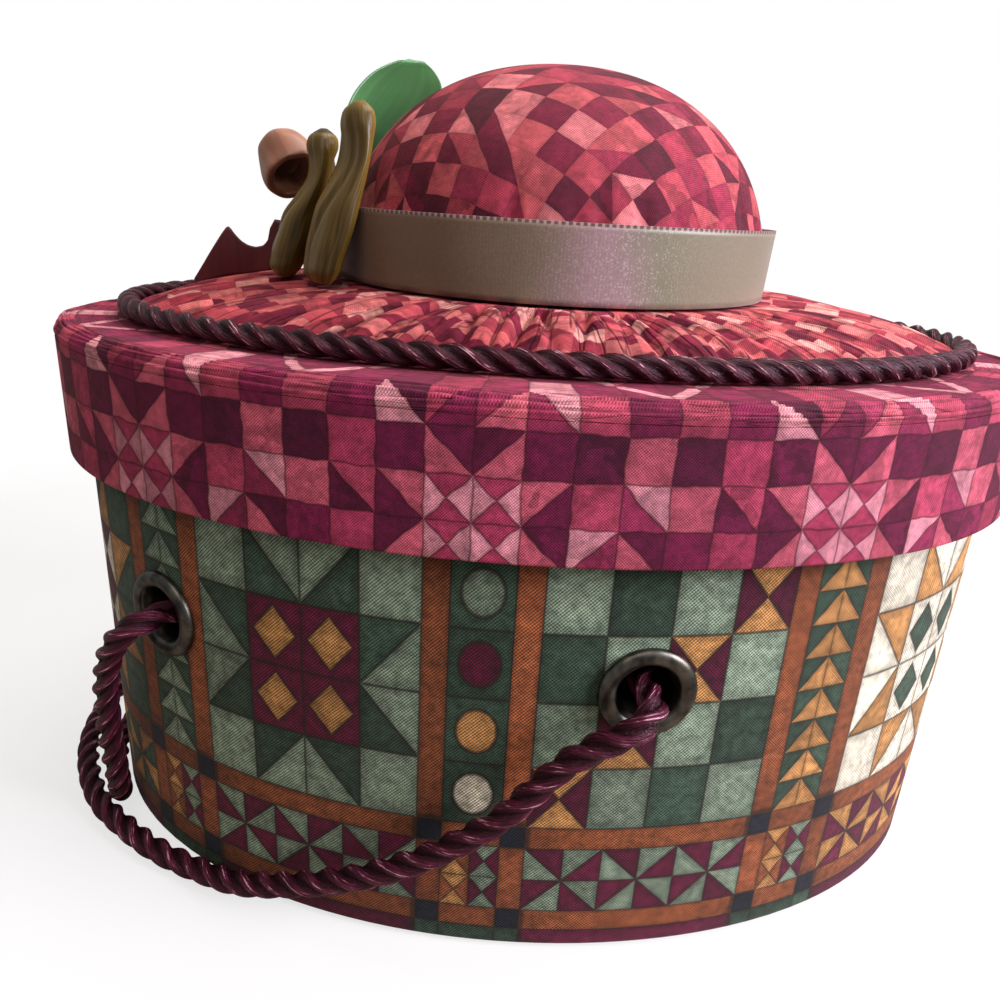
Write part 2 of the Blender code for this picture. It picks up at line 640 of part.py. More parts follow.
def build_hat(looks, group):
    """Gathered brim, its twisted cord, the stuffed crown and the ribbon round it."""
    rise_shares = [(0.0, 0.0), (0.18, 0.30), (0.42, 0.62), (0.70, 0.88), (1.0, 1.0)]
    rings = [brim_ring(0.0, BRIM_BOTTOM, 0.0)]
    for share, rise_share in rise_shares:
        pleat = BRIM_PLEAT_DEPTH * math.sin(math.pi * share)
        rings.append(brim_ring(share, BRIM_EDGE_TOP + BRIM_RISE * rise_share, pleat))
    add_solid("brim_pad", loft(rings), looks["rose"], group)
    radius = BRIM_CORD_DIAMETER / 2
    sides = 8
    cord = loft(
        [
            oval(
                BRIM_CORD_HALF_LENGTH + radius * math.cos(2.0 * math.pi * side / sides),
                BRIM_CORD_HALF_WIDTH + radius * math.cos(2.0 * math.pi * side / sides),
                BRIM_CORD_CENTRE + radius * math.sin(2.0 * math.pi * side / sides),
            )
            for side in range(sides)
        ],
        closed=True,
    )
    add_solid("brim_cord", cord, looks["cord"], group)
    steps = 10
    crown_rings = [oval(CROWN_RADIUS, CROWN_RADIUS, CROWN_BOTTOM)]
    for step in range(steps):
        angle = math.pi / 2 * step / steps
        reach = CROWN_RADIUS * math.cos(angle) ** CROWN_FULLNESS
        height = CROWN_BOTTOM + CROWN_WALL + (CROWN_HEIGHT - CROWN_WALL) * math.sin(angle)
        crown_rings.append(oval(reach, reach, height))
    crown = loft(crown_rings)
    bmesh.ops.poke(crown, faces=[crown.faces[-1]])
    crown.verts.ensure_lookup_table()
    crown.verts[-1].co.z = CROWN_BOTTOM + CROWN_HEIGHT
    add_solid("crown_cushion", crown, looks["rose"], group, (0.0, 0.0, CROWN_BOTTOM))
    inside, outside = RIBBON_INSIDE, RIBBON_INSIDE + RIBBON_THICKNESS
    top = CROWN_BOTTOM + RIBBON_WIDTH
    ribbon = loft(
        [
            oval(inside, inside, CROWN_BOTTOM),
            oval(outside, outside, CROWN_BOTTOM),
            oval(outside + RIBBON_FLARE, outside + RIBBON_FLARE, top),
            oval(inside + RIBBON_FLARE, inside + RIBBON_FLARE, top),
        ],
        closed=True,
    )
    add_solid("hat_band", ribbon, looks["ribbon"], group)


def crown_place(degrees, reach, height):
    """A frame beside the crown: X points away from it, Z up."""
    turn = Matrix.Rotation(math.radians(degrees), 4, "Z")
    return turn @ Matrix.Translation((reach, 0.0, height))


def padded_strip(stations, sides=14):
    """A soft upright strip from (out, across, height, half thickness, half width) stations."""
    rings = []
    for out, across, height, half_thickness, half_width in stations:
        turns = [2.0 * math.pi * side / sides for side in range(sides)]
        rings.append(
            [
                Vector((out + half_thickness * math.cos(turn), across + half_width * math.sin(turn), height))
                for turn in turns
            ]
        )
    return loft(rings)


def build_bow(looks, group):
    """The ribbon trimmings: knot, two upright loops, leaf, rosette and tail."""
    knot_half = BOW_KNOT_THICKNESS / 2
    knot_shares = [(0.00, 0.60, 0.70), (0.12, 1.00, 1.00), (0.88, 1.00, 1.00), (1.00, 0.60, 0.70)]
    knot_stations = [
        (0.0, 0.0, BOW_KNOT_HEIGHT * rise, knot_half * thick, BOW_KNOT_WIDTH / 2 * width)
        for rise, thick, width in knot_shares
    ]
    knot_place = crown_place(BOW_KNOT_ANGLE, TRIM_RADIUS + knot_half, CROWN_BOTTOM)
    add_solid("bow_knot", moved(padded_strip(knot_stations), knot_place), looks["loop"], group)

    width = LOOP_WIDTH / 2
    loop_shares = [
        (0.00, 0.00, 0.62, 0.40),
        (0.06, 0.02, 0.90, 0.66),
        (0.24, 0.15, 0.98, 0.92),
        (0.44, 0.25, 0.85, 1.00),
        (0.52, 0.40, 0.86, 1.00),
        (0.68, 0.64, 0.95, 0.97),
        (0.84, 0.82, 1.00, 0.86),
        (0.95, 0.95, 0.76, 0.60),
        (1.00, 1.00, 0.36, 0.28),
    ]
    inner = (INNER_LOOP_HEIGHT, INNER_LOOP_LEAN, INNER_LOOP_THICKNESS / 2)
    outer = (OUTER_LOOP_HEIGHT, OUTER_LOOP_LEAN, OUTER_LOOP_THICKNESS / 2)
    inner_place = crown_place(INNER_LOOP_ANGLE, TRIM_RADIUS + INNER_LOOP_REACH, CROWN_BOTTOM)
    outer_place = crown_place(
        OUTER_LOOP_ANGLE, TRIM_RADIUS + OUTER_LOOP_REACH, CROWN_BOTTOM - OUTER_LOOP_DROP
    )
    loops = {"inner": (inner, inner_place), "outer": (outer, outer_place)}
    for name, ((height, lean, half), place) in loops.items():
        stations = [
            (-lean * lean_share, 0.0, height * rise_share, half * thick_share, width * width_share)
            for rise_share, lean_share, thick_share, width_share in loop_shares
        ]
        add_solid(f"bow_loop_{name}", moved(padded_strip(stations), place), looks["loop"], group)
    build_rosette(looks, group)
    build_leaf(looks, group)
    build_tail(looks, group)


def build_rosette(looks, group):
    """A hollow rolled rosette, seated on the outer face of the bow's knot."""
    inner_radius = ROSETTE_RADIUS - ROSETTE_WALL
    length_shares = [(0.62, 0.00), (0.92, 0.14), (1.00, 0.45), (0.96, 1.00)]
    outside = [(ROSETTE_RADIUS * reach, ROSETTE_LENGTH * rise) for reach, rise in length_shares]
    inside = [
        (inner_radius * length_shares[-1][0], ROSETTE_LENGTH),
        (inner_radius, ROSETTE_LENGTH / 2),
        (inner_radius * length_shares[0][0], ROSETTE_WALL),
    ]
    aim = Vector(ROSETTE_AIM).to_track_quat("Z", "Y").to_matrix().to_4x4()
    middle = Matrix.Translation((0.0, 0.0, -ROSETTE_LENGTH / 2))
    rosette = turned(outside + inside, crown_place(0.0, 0.0, CROWN_BOTTOM + ROSETTE_RISE) @ aim @ middle)
    outward = Vector((math.cos(math.radians(BOW_KNOT_ANGLE)), math.sin(math.radians(BOW_KNOT_ANGLE)), 0.0))
    seat = TRIM_RADIUS + BOW_KNOT_THICKNESS + GLUE_LINE
    nearest = min(corner.co.dot(outward) for corner in rosette.verts)
    shift = Matrix.Translation(outward * (seat - nearest))
    add_solid("rosette", moved(rosette, shift), looks["rosette"], group)


def moved(body, place):
    """The same bmesh after a transform."""
    bmesh.ops.transform(body, matrix=place, verts=body.verts)
    return body


def build_leaf(looks, group):
    """A broad satin loop that lies on the ribbon and curls up behind the crown's left shoulder."""
    row_shares = [
        (0.18, 176.0, 172.0, 1.000, 1.000),
        (0.36, 177.0, 163.0, 1.000, 1.000),
        (0.56, 179.0, 154.0, 0.985, 0.950),
        (0.72, 180.0, 147.0, 0.950, 0.853),
        (0.86, 180.0, 140.0, 0.905, 0.742),
        (0.95, 177.0, 142.0, 0.840, 0.690),
        (1.01, 170.0, 152.0, 0.765, 0.690),
    ]
    steps = 5
    rings = []
    for rise, left_angle, right_angle, left_reach, right_reach in row_shares:
        height = Vector((0.0, 0.0, CROWN_BOTTOM + CROWN_HEIGHT * rise))
        front, back = [], []
        for step in range(steps + 1):
            share = step / steps
            angle = math.radians(left_angle + (right_angle - left_angle) * share)
            reach = TRIM_RADIUS * (left_reach + (right_reach - left_reach) * share)
            out = Vector((math.cos(angle), math.sin(angle), 0.0))
            front.append(out * reach + height)
            back.append(out * (reach + LEAF_THICKNESS) + height)
        rings.append(front + list(reversed(back)))
    add_solid("bow_leaf", loft(rings), looks["leaf"], group)


def build_tail(looks, group):
    """The ribbon's cut end, standing on the brim behind the loops with its points up."""
    outline_shares = [
        (-0.10, -0.02),
        (0.50, -0.24),
        (1.00, -0.50),
        (0.56, 1.00),
        (0.37, 0.56),
        (0.14, 0.54),
        (0.10, 0.90),
        (0.03, 1.30),
        (-0.06, 1.20),
    ]
    rings = [
        [Vector((TAIL_REACH * out, across, TAIL_HEIGHT * rise)) for out, rise in outline_shares]
        for across in (-TAIL_THICKNESS / 2, TAIL_THICKNESS / 2)
    ]
    place = crown_place(BOW_KNOT_ANGLE, TRIM_RADIUS + TAIL_START, CROWN_BOTTOM)
    add_solid("ribbon_tail", moved(loft(rings), place), looks["tail"], group)


def main():
    """Build the basket, its tray and its lid."""
    clear_scene()
    looks = finishes()
    box = add_group("box_group")
    tray = add_group("tray_group")
    lid = add_group("lid_group")
    build_box(looks, box)
    build_eyelets(looks, box)
    build_handle(looks, box)
    build_tray(looks, tray)
    build_lid_box(looks, lid)
    build_hat(looks, lid)
    build_bow(looks, lid)


main()
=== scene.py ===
"""Oval sewing basket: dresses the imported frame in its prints, satins, cords, brass and tray plastic.

Everything is in metres in the frame's own axes: +X along the oval, +Y from the front to the back, +Z up.
Cloth pieces carry their own map named cloth, in metres of cloth, and their weave and print follow it.
"""

import json
import logging
import math
from collections.abc import Callable, Mapping, Sequence
from dataclasses import dataclass, replace
from enum import Enum
from functools import cached_property, partial

import bmesh
import bpy
import numpy as np
from mathutils import Matrix, Vector
from mathutils.geometry import interpolate_bezier

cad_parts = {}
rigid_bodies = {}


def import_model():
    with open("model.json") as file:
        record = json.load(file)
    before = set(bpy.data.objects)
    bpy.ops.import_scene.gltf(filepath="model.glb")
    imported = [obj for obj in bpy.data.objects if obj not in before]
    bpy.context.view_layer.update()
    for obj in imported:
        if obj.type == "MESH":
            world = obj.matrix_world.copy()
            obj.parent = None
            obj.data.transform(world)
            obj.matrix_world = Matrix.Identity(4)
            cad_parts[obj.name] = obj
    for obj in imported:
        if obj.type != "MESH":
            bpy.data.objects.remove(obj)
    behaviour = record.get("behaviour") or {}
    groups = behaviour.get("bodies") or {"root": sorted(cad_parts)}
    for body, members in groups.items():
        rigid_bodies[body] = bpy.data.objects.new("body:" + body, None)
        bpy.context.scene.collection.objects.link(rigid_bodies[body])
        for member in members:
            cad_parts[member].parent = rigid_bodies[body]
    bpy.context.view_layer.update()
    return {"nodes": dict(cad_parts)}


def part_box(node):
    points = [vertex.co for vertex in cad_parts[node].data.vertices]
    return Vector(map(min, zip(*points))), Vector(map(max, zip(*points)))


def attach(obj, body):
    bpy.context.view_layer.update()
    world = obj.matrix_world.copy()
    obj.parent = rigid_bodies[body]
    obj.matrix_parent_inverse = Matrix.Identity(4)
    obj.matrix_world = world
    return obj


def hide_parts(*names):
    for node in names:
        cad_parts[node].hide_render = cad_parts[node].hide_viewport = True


for leftover in list(bpy.data.objects):
    bpy.data.objects.remove(leftover, do_unlink=True)
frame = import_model()

LOG = logging.getLogger("sewing_basket")
TURN = 2.0 * math.pi
CLOTH = "cloth"
Colour = tuple[float, float, float, float]
Point = tuple[float, float, float]
Material = bpy.types.Material
Mesh = bmesh.types.BMesh
Piece = bpy.types.Object
Socket = bpy.types.NodeSocket
Tree = bpy.types.NodeTree
Steps = dict[str, tuple]
Shape = Callable[[float, float], Vector]


class Body(Enum):
    """The frame's bodies."""

    BASKET = "basket"
    LID = "lid"
    TRAY = "tray"


class Cut(Enum):
    """How a printed patch is divided between its two colours."""

    PLAIN = 0
    RISING = 1
    FALLING = 2
    QUARTERED = 3
    RISING_BAND = 4
    FALLING_BAND = 5
    DIAMOND = 6
    DOT = 7


@dataclass(frozen=True)
class Patch:
    """One printed patch: its cut and the palette numbers of its two colours."""

    cut: Cut
    first: int
    second: int

    @property
    def code(self) -> Point:
        """Both colours and the cut, in eighths, as the print's nodes read them."""
        return self.first / 8.0, self.second / 8.0, self.cut.value / 8.0


@dataclass(frozen=True)
class Look:
    """A finish and the name of a slot."""

    material: Material
    slot: str


Block = list[list[Patch]]
RISE, FALL = partial(Patch, Cut.RISING), partial(Patch, Cut.FALLING)


def linear(code: str) -> Colour:
    """Turn an sRGB hex colour into a linear one.

    Args:
        code: the colour, such as #8a2b3c.

    Returns:
        Red, green, blue and an alpha of 1.
    """
    channels = [int(code[start : start + 2], 16) / 255.0 for start in (1, 3, 5)]
    bright = [value / 12.92 if value <= 0.04045 else ((value + 0.055) / 1.055) ** 2.4 for value in channels]
    return (*bright, 1.0)


# ---- Node tables ----

RANGE = ("Value", "From Min", "From Max", "To Min", "To Max")
# The table's kinds: Blender's type, its sockets in order, its main output and its settings.
# Any other kind is an operation of a Math node.
KINDS: dict[str, tuple[str, tuple, int, dict]] = {
    "range": ("MapRange", RANGE, 0, {}),
    "ease": ("MapRange", RANGE, 0, {"interpolation_type": "SMOOTHSTEP"}),
    "noise": ("TexNoise", ("Vector", "Scale", "Detail", "Roughness", "Distortion"), 0, {}),
    "speck": ("TexWhiteNoise", ("Vector",), 0, {}),
    "speck_line": ("TexWhiteNoise", ("W",), 0, {"noise_dimensions": "1D"}),
    "mix": ("Mix", ("Factor", 6, 7), 2, {"data_type": "RGBA"}),
    "choose": ("Mix", ("Factor", 2, 3), 0, {"data_type": "FLOAT"}),
    "ramp": ("ValToRGB", (0,), 0, {}),
    "bump": ("Bump", ("Height", "Strength", "Distance", "Normal"), 0, {}),
    "scale": ("VectorMath", (0, "Scale"), 0, {"operation": "SCALE"}),
    "times": ("VectorMath", (0, 1), 0, {"operation": "MULTIPLY"}),
    "plus": ("VectorMath", (0, 1), 0, {"operation": "ADD"}),
    "minus": ("VectorMath", (0, 1), 0, {"operation": "SUBTRACT"}),
    "floor": ("VectorMath", (0,), 0, {"operation": "FLOOR"}),
    "fraction": ("VectorMath", (0,), 0, {"operation": "FRACTION"}),
    "length": ("VectorMath", (0,), 1, {"operation": "LENGTH"}),
    "turn": ("Mapping", ("Vector", "Rotation", "Scale"), 0, {}),
    "split": ("SeparateXYZ", (0,), 0, {}),
    "split_colour": ("SeparateColor", (0,), 0, {}),
    "join": ("CombineXYZ", (0, 1, 2), 0, {}),
    "uv": ("UVMap", (), 0, {}),
    "attribute": ("Attribute", (), 0, {}),
    "place": ("TexCoord", (), 0, {}),
    "facing": ("LayerWeight", ("Blend",), 1, {}),
    "path": ("LightPath", (), 0, {}),
    "glow": ("Emission", ("Color", "Strength"), 0, {}),
    "blend": ("MixShader", (0, 1, 2), 0, {}),
}


def read(value: object, found: Mapping[str, Socket]) -> object:
    """Look up what a table's entry stands for.

    Args:
        value: a hex colour, the name of an output, or a plain value.
        found: the outputs by name.

    Returns:
        The linear colour, the output, or the value itself.
    """
    if not isinstance(value, str):
        return value
    return linear(value) if value.startswith("#") else found[value]


def plug(tree: Tree, node: bpy.types.Node, inputs: Mapping[str | int, object]) -> None:
    """Fill a node's sockets.

    Args:
        tree: the node tree.
        node: the node.
        inputs: a value, or an output to link, for each socket's name or number.
    """
    for key, value in inputs.items():
        if isinstance(value, Socket):
            tree.links.new(value, node.inputs[key])
        else:
            node.inputs[key].default_value = value


def fill_ramp(ramp: bpy.types.ColorRamp, stops: Sequence[tuple[float, Colour]], constant: bool) -> None:
    """Give a colour ramp its stops.

    Args:
        ramp: the ramp.
        stops: place and colour of each stop, in order.
        constant: whether the colours change in steps.
    """
    ramp.interpolation = "CONSTANT" if constant else "LINEAR"
    ramp.elements.remove(ramp.elements[-1])
    ramp.elements[0].position, ramp.elements[0].color = stops[0]
    for place, colour in stops[1:]:
        ramp.elements.new(place).color = colour


def add_node(
    tree: Tree, kind: str, inputs: Mapping[str | int, object], settings: Mapping[str, object]
) -> bpy.types.Node:
    """Add a node with its settings, values and links.

    Args:
        tree: the node tree.
        kind: Blender's name of the node type.
        inputs: what goes into each socket.
        settings: the node's own properties, or a ramp's stops or its bands of even colour.

    Returns:
        The new node.
    """
    node = tree.nodes.new(kind)
    for key, value in settings.items():
        if key in ("stops", "bands"):
            fill_ramp(node.color_ramp, value, key == "bands")
        else:
            setattr(node, key, value)
    plug(tree, node, inputs)
    return node


def wire(tree: Tree, steps: Steps, **known: Socket) -> dict[str, Socket]:
    """Add the nodes of a table, each of which may read the ones above it.

    Args:
        tree: the node tree.
        steps: each node's name, with its kind, what goes into its sockets in order, and its settings, if any.
            A text is a hex colour, a node's name, or a node's name, a dot and one of its outputs.
        known: more outputs that the table may read.

    Returns:
        The outputs by name.
    """
    found = dict(known)
    for name, (kind, *values) in steps.items():
        settings = values.pop() if values and isinstance(values[-1], dict) else {}
        node_type, sockets, main, fixed = KINDS.get(kind, ("Math", (0, 1, 2), 0, {"operation": kind}))
        inputs = {key: read(value, found) for key, value in zip(sockets, values)}
        node = add_node(tree, f"ShaderNode{node_type}", inputs, {**fixed, **settings})
        for number, output in enumerate(node.outputs):
            found[f"{name}.{number}"] = found[f"{name}.{output.name}"] = output
        found[name] = node.outputs[main]
    return found


def make_material(name: str, steps: Steps, surface: Mapping[str, object], whole: str = "shader") -> Material:
    """Make a material from a table of nodes.

    Args:
        name: the material's name.
        steps: the table.
        surface: what goes into each socket of the Principled shader.
        whole: the output that makes the whole surface.

    Returns:
        The material.
    """
    material = bpy.data.materials.new(name)
    material.use_nodes = True
    tree = material.node_tree
    shader = tree.nodes["Principled BSDF"]
    found = wire(tree, steps, shader=shader.outputs[0])
    plug(tree, shader, {key: read(value, found) for key, value in surface.items()})
    plug(tree, tree.nodes["Material Output"], {"Surface": found[whole]})
    return material


# ---- Patchwork blocks of four by four patches, rows from the bottom: traditional quilt units ----


def plain(tone: int) -> Patch:
    """A patch of one colour."""
    return Patch(Cut.PLAIN, tone, tone)


def star_block(ground: int, points: int, middle: Patch) -> Block:
    """A sawtooth star.

    Args:
        ground: palette number behind the star.
        points: palette number of the eight points.
        middle: the patch that fills the four centre units.

    Returns:
        The rows of patches.
    """
    corner = plain(ground)
    return [
        [corner, RISE(ground, points), FALL(ground, points), corner],
        [RISE(points, ground), middle, middle, FALL(points, ground)],
        [FALL(ground, points), middle, middle, RISE(ground, points)],
        [corner, FALL(points, ground), RISE(points, ground), corner],
    ]


def pinwheel_block(blades: int, ground: int) -> Block:
    """Four pinwheels.

    Args:
        blades: palette number of the turning triangles.
        ground: palette number between them.

    Returns:
        The rows of patches.
    """
    unit = [[RISE(blades, ground), FALL(ground, blades)], [FALL(blades, ground), RISE(ground, blades)]]
    return [[unit[row % 2][column % 2] for column in range(4)] for row in range(4)]


def chevron_block(band: int, ground: int, fill: int) -> Block:
    """Pale bands that meet in a V over a checked foot.

    Args:
        band: palette number of the bands.
        ground: palette number beside them.
        fill: palette number of the checks.

    Returns:
        The rows of patches.
    """
    falling, rising = Patch(Cut.FALLING_BAND, band, ground), Patch(Cut.RISING_BAND, band, ground)
    beside, check, left, right = plain(ground), plain(fill), FALL(ground, fill), RISE(ground, fill)
    return [
        [check, beside, check, beside],
        [beside, falling, rising, beside],
        [falling, right, left, rising],
        [right, check, check, left],
    ]


def check_block(first: int, second: int, accent: Patch) -> Block:
    """Checks with an accent patch on one diagonal.

    Args:
        first: palette number of one check.
        second: palette number of the other.
        accent: the patch on the diagonal.

    Returns:
        The rows of patches.
    """
    tones = (plain(first), plain(second))
    return [[accent if row == column else tones[(row + column) % 2] for column in range(4)] for row in range(4)]


def mixed_block(seed: int) -> Block:
    """A lively mix of plain squares and half squares, dark beside light.

    Args:
        seed: picks the mix.

    Returns:
        The rows of patches.
    """
    rng = np.random.default_rng(seed)
    darks, lights = (0, 1, 5, 7, 0), (2, 3, 6, 3, 4)
    cuts = (Cut.PLAIN, Cut.PLAIN, Cut.PLAIN, Cut.RISING, Cut.PLAIN, Cut.FALLING)
    rows: Block = []
    for row in range(4):
        rows.append([])
        for column in range(4):
            tones = darks[rng.integers(5)], lights[rng.integers(5)]
            cut = cuts[rng.integers(6)]
            rows[-1].append(Patch(cut, *(tones if (row + column) % 2 else tones[::-1])))
    return rows


# ---- Finishes ----

ON_CLOTH: Steps = {"cloth": ("uv", {"uv_map": CLOTH}), "on": ("split", "cloth")}
ON_OBJECT: Steps = {"at": ("place",)}


@dataclass(frozen=True)
class WovenCotton:
    """Printed quilting cotton: matt yarn with a soft nap, and a weave that breaks up the light."""

    name: str
    palette: tuple[str, ...]
    outline: str
    thread: float
    outline_strength: float = 0.7
    line_width: float = 0.035
    mottle: float = 0.22
    edge_shade: float = 0.12
    roughness: float = 0.82
    sheen: float = 0.12
    nap: str = "#ffffff"
    contrast: float = 0.16
    # The stretch of the creases' noise across and along the cloth, and how dark the painted shade in the creases is.
    creases: tuple[float, float] | None = None
    crease_shade_strength: float = 0.5

    def dress(self, laid: Steps, tinted: Steps) -> Material:
        """Make the material.

        Args:
            laid: how the print lies: the place in the patch, local, and the patch's code, codes.
            tinted: how each piece of a patch finds its own random number, tint.

        Returns:
            The material.
        """
        steps = ON_CLOTH | laid | self.cut() | tinted | self.weave() | self.crease() | self.wash()
        surface = {
            "Base Color": "drawn",
            "Normal": "bump",
            "Roughness": self.roughness,
            "Specular IOR Level": 0.25,
            "Sheen Weight": self.sheen,
            "Sheen Roughness": 0.45,
            "Sheen Tint": self.nap,
        }
        return make_material(self.name, steps, surface)

    def cut(self) -> Steps:
        """Divide each patch between its two colours, ink, and find the nearest edge, edge."""
        steps = {
            "patch": ("split", "local"),
            "rise": ("SUBTRACT", "patch.1", "patch.0"),
            "both": ("ADD", "patch.1", "patch.0"),
            "fall": ("SUBTRACT", "both", 1.0),
            "off_rise": ("ABSOLUTE", "rise"),
            "off_fall": ("ABSOLUTE", "fall"),
            "left": ("SUBTRACT", "patch.0", 0.5),
            "low": ("SUBTRACT", "patch.1", 0.5),
            "side": ("ABSOLUTE", "left"),
            "over": ("ABSOLUTE", "low"),
            "quarter": ("SUBTRACT", "over", "side"),
            "reach": ("ADD", "over", "side"),
            "side_squared": ("MULTIPLY", "side", "side"),
            "round_squared": ("MULTIPLY_ADD", "over", "over", "side_squared"),
            "radius": ("SQRT", "round_squared"),
            "rising_band": ("SUBTRACT", "off_rise", 0.22),
            "falling_band": ("SUBTRACT", "off_fall", 0.22),
            "diamond": ("SUBTRACT", "reach", 0.40),
            "dot": ("SUBTRACT", "radius", 0.33),
        }
        fields = ("rise", "fall", "quarter", "rising_band", "falling_band", "diamond", "dot")
        total: str | float = 0.0
        for kind, field in zip(list(Cut)[1:], fields):
            steps[f"is_{field}"] = ("COMPARE", "codes.2", kind.value / 8.0, 0.04)
            steps[f"with_{field}"] = ("MULTIPLY_ADD", f"is_{field}", field, total)
            total = f"with_{field}"
        return steps | {
            "is_plain": ("LESS_THAN", "codes.2", 0.06),
            "signed": ("SUBTRACT", total, "is_plain"),
            "beyond": ("GREATER_THAN", "signed", 0.0),
            "number": ("choose", "beyond", "codes.0", "codes.1"),
            "nudged": ("ADD", "number", 0.04),
            "ink": ("ramp", "nudged", {"bands": [(n / 8.0, linear(code)) for n, code in enumerate(self.palette)]}),
            "gap": ("ABSOLUTE", "signed"),
            "near": ("MULTIPLY", "gap", 0.7),
            "farthest": ("MAXIMUM", "side", "over"),
            "inside": ("SUBTRACT", 0.5, "farthest"),
            "edge": ("MINIMUM", "near", "inside"),
        }

    def weave(self) -> Steps:
        """Draw the height of the yarn, weave: diagonal ribs of a light twill crossed by single yarns."""
        wave = TURN / self.thread
        return {
            "warp": ("MULTIPLY", "on.0", wave),
            "weft": ("MULTIPLY", "on.1", wave),
            "diagonal": ("SUBTRACT", "warp", "weft"),
            "rib": ("SINE", "diagonal"),
            "yarn": ("SINE", "warp"),
            "shot": ("SINE", "weft"),
            "cross": ("MULTIPLY", "yarn", "shot"),
            "mixed": ("MULTIPLY_ADD", "rib", 0.95, "cross"),
            "slub": ("noise", "cloth", 0.45 / self.thread, 3.0),
            "height": ("range", "mixed", -1.5, 1.5),
            "uneven": ("MULTIPLY", "height", "slub"),
            "weave": ("MULTIPLY", "uneven", 2.0),
        }

    def crease(self) -> Steps:
        """Paint shade into thin creases that run one way on the cloth: the light left in them darkens the colour and
        dents the bump.
        """
        across, along = self.creases or (1.0, 1.0)
        return {
            "pulled": ("times", "cloth", (across, along, 1.0)),
            "folds": ("noise", "pulled", 1.0, 2.0),
            "off_fold": ("SUBTRACT", "folds", 0.5),
            "fold_gap": ("ABSOLUTE", "off_fold"),
            "painted_crease_shade": ("range", "fold_gap", 0.0, 0.045, 1.0 - self.crease_shade_strength if self.creases else 1.0),
        }

    def wash(self) -> Steps:
        """Add the print's outlines and washes and the creases' painted shade to its ink: the colour is drawn, the
        relief bump.
        """
        return {
            "shade": ("ease", "edge", 0.0, 0.22, 1.0 - self.edge_shade, 1.0),
            "dye": ("noise", "cloth", 190.0, 4.0, 0.65, 0.6),
            "washed": ("range", "dye", 0.3, 0.7, 1.0 - self.mottle, 1.0 + self.mottle),
            "each": ("range", "tint", 0.0, 1.0, 0.74, 1.26),
            "fibre": ("range", "weave", 0.0, 1.0, 1.0 - self.contrast, 1.0 + self.contrast),
            "shaded": ("MULTIPLY", "shade", "washed"),
            "tinted": ("MULTIPLY", "shaded", "each"),
            "woven": ("MULTIPLY", "tinted", "fibre"),
            # Painted shade: the creases darken the colour.
            "level": ("MULTIPLY", "woven", "painted_crease_shade"),
            "toned": ("scale", "ink", "level"),
            "line": ("ease", "edge", self.line_width * 0.35, self.line_width, self.outline_strength, 0.0),
            "drawn": ("mix", "line", "toned", self.outline),
            "folded": ("bump", "painted_crease_shade", 0.6, 0.0008),
            "bump": ("bump", "weave", 0.35, 0.00025, "folded"),
        }


@dataclass(frozen=True)
class RosePatchwork(WovenCotton):
    """The lid's cotton: a repeat of eight by eight small patches in rose and burgundy."""

    patch: float = 0.011
    wobble: float = 0.16
    tilt: float = 0.0
    blocks: tuple[Block, ...] = ()

    def material(self) -> Material:
        """Make the material, with edges that waver as a hand-drawn print's do."""
        scale = 1.0 / self.patch
        laid = {
            "turned": ("turn", "cloth", (0.0, 0.0, math.radians(self.tilt)), (scale, scale, scale)),
            "hand": ("noise", "cloth", 150.0, 1.0),
            "waver": ("minus", "hand.1", (0.5, 0.5, 0.5)),
            "wobble": ("scale", "waver", self.wobble),
            "print": ("plus", "turned", "wobble"),
            "cell": ("floor", "print"),
            "local": ("fraction", "print"),
            "in_print": ("split", "cell"),
            "column": ("FLOORED_MODULO", "in_print.0", 8.0),
            "row": ("FLOORED_MODULO", "in_print.1", 8.0),
            "half_row": ("FLOORED_MODULO", "row", 4.0),
            "index": ("MULTIPLY_ADD", "half_row", 8.0, "column"),
            "stop": ("MULTIPLY_ADD", "index", 1.0 / 32.0, 0.5 / 32.0),
            "lower": ("ramp", "stop", {"bands": self.bands(0)}),
            "upper": ("ramp", "stop", {"bands": self.bands(4)}),
            "is_upper": ("GREATER_THAN", "row", 3.5),
            "code": ("mix", "is_upper", "lower", "upper"),
            "codes": ("split_colour", "code"),
        }
        return self.dress(laid, {"shifted": ("plus", "cell", "beyond"), "tint": ("speck", "shifted")})

    def bands(self, first_row: int) -> list[tuple[float, Colour]]:
        """Write the codes of half the repeat, four rows of eight patches, as a ramp's bands.

        Args:
            first_row: the lowest of the four rows.

        Returns:
            The bands.
        """
        codes = []
        for index in range(32):
            row, column = first_row + index // 8, index % 8
            patch = self.blocks[(row // 4) * 2 + column // 4][row % 4][column % 4]
            codes.append((index / 32.0, (*patch.code, 1.0)))
        return codes


@dataclass(frozen=True)
class SamplerCotton(WovenCotton):
    """The box's cotton: a quilt sampler in sage, green, ochre, navy, cream and burgundy."""

    def material(self) -> Material:
        """Make the material, which reads each patch's colours and cut from the cloth's own attributes."""
        laid = {
            "local": ("uv", {"uv_map": "patch"}),
            "code": ("attribute", {"attribute_name": "patch_code"}),
            "codes": ("split", "code.Vector"),
        }
        tinted = {
            "own": ("attribute", {"attribute_name": "patch_number"}),
            "shifted": ("ADD", "own.Fac", "beyond"),
            "tint": ("speck_line", "shifted"),
        }
        return self.dress(laid, tinted)


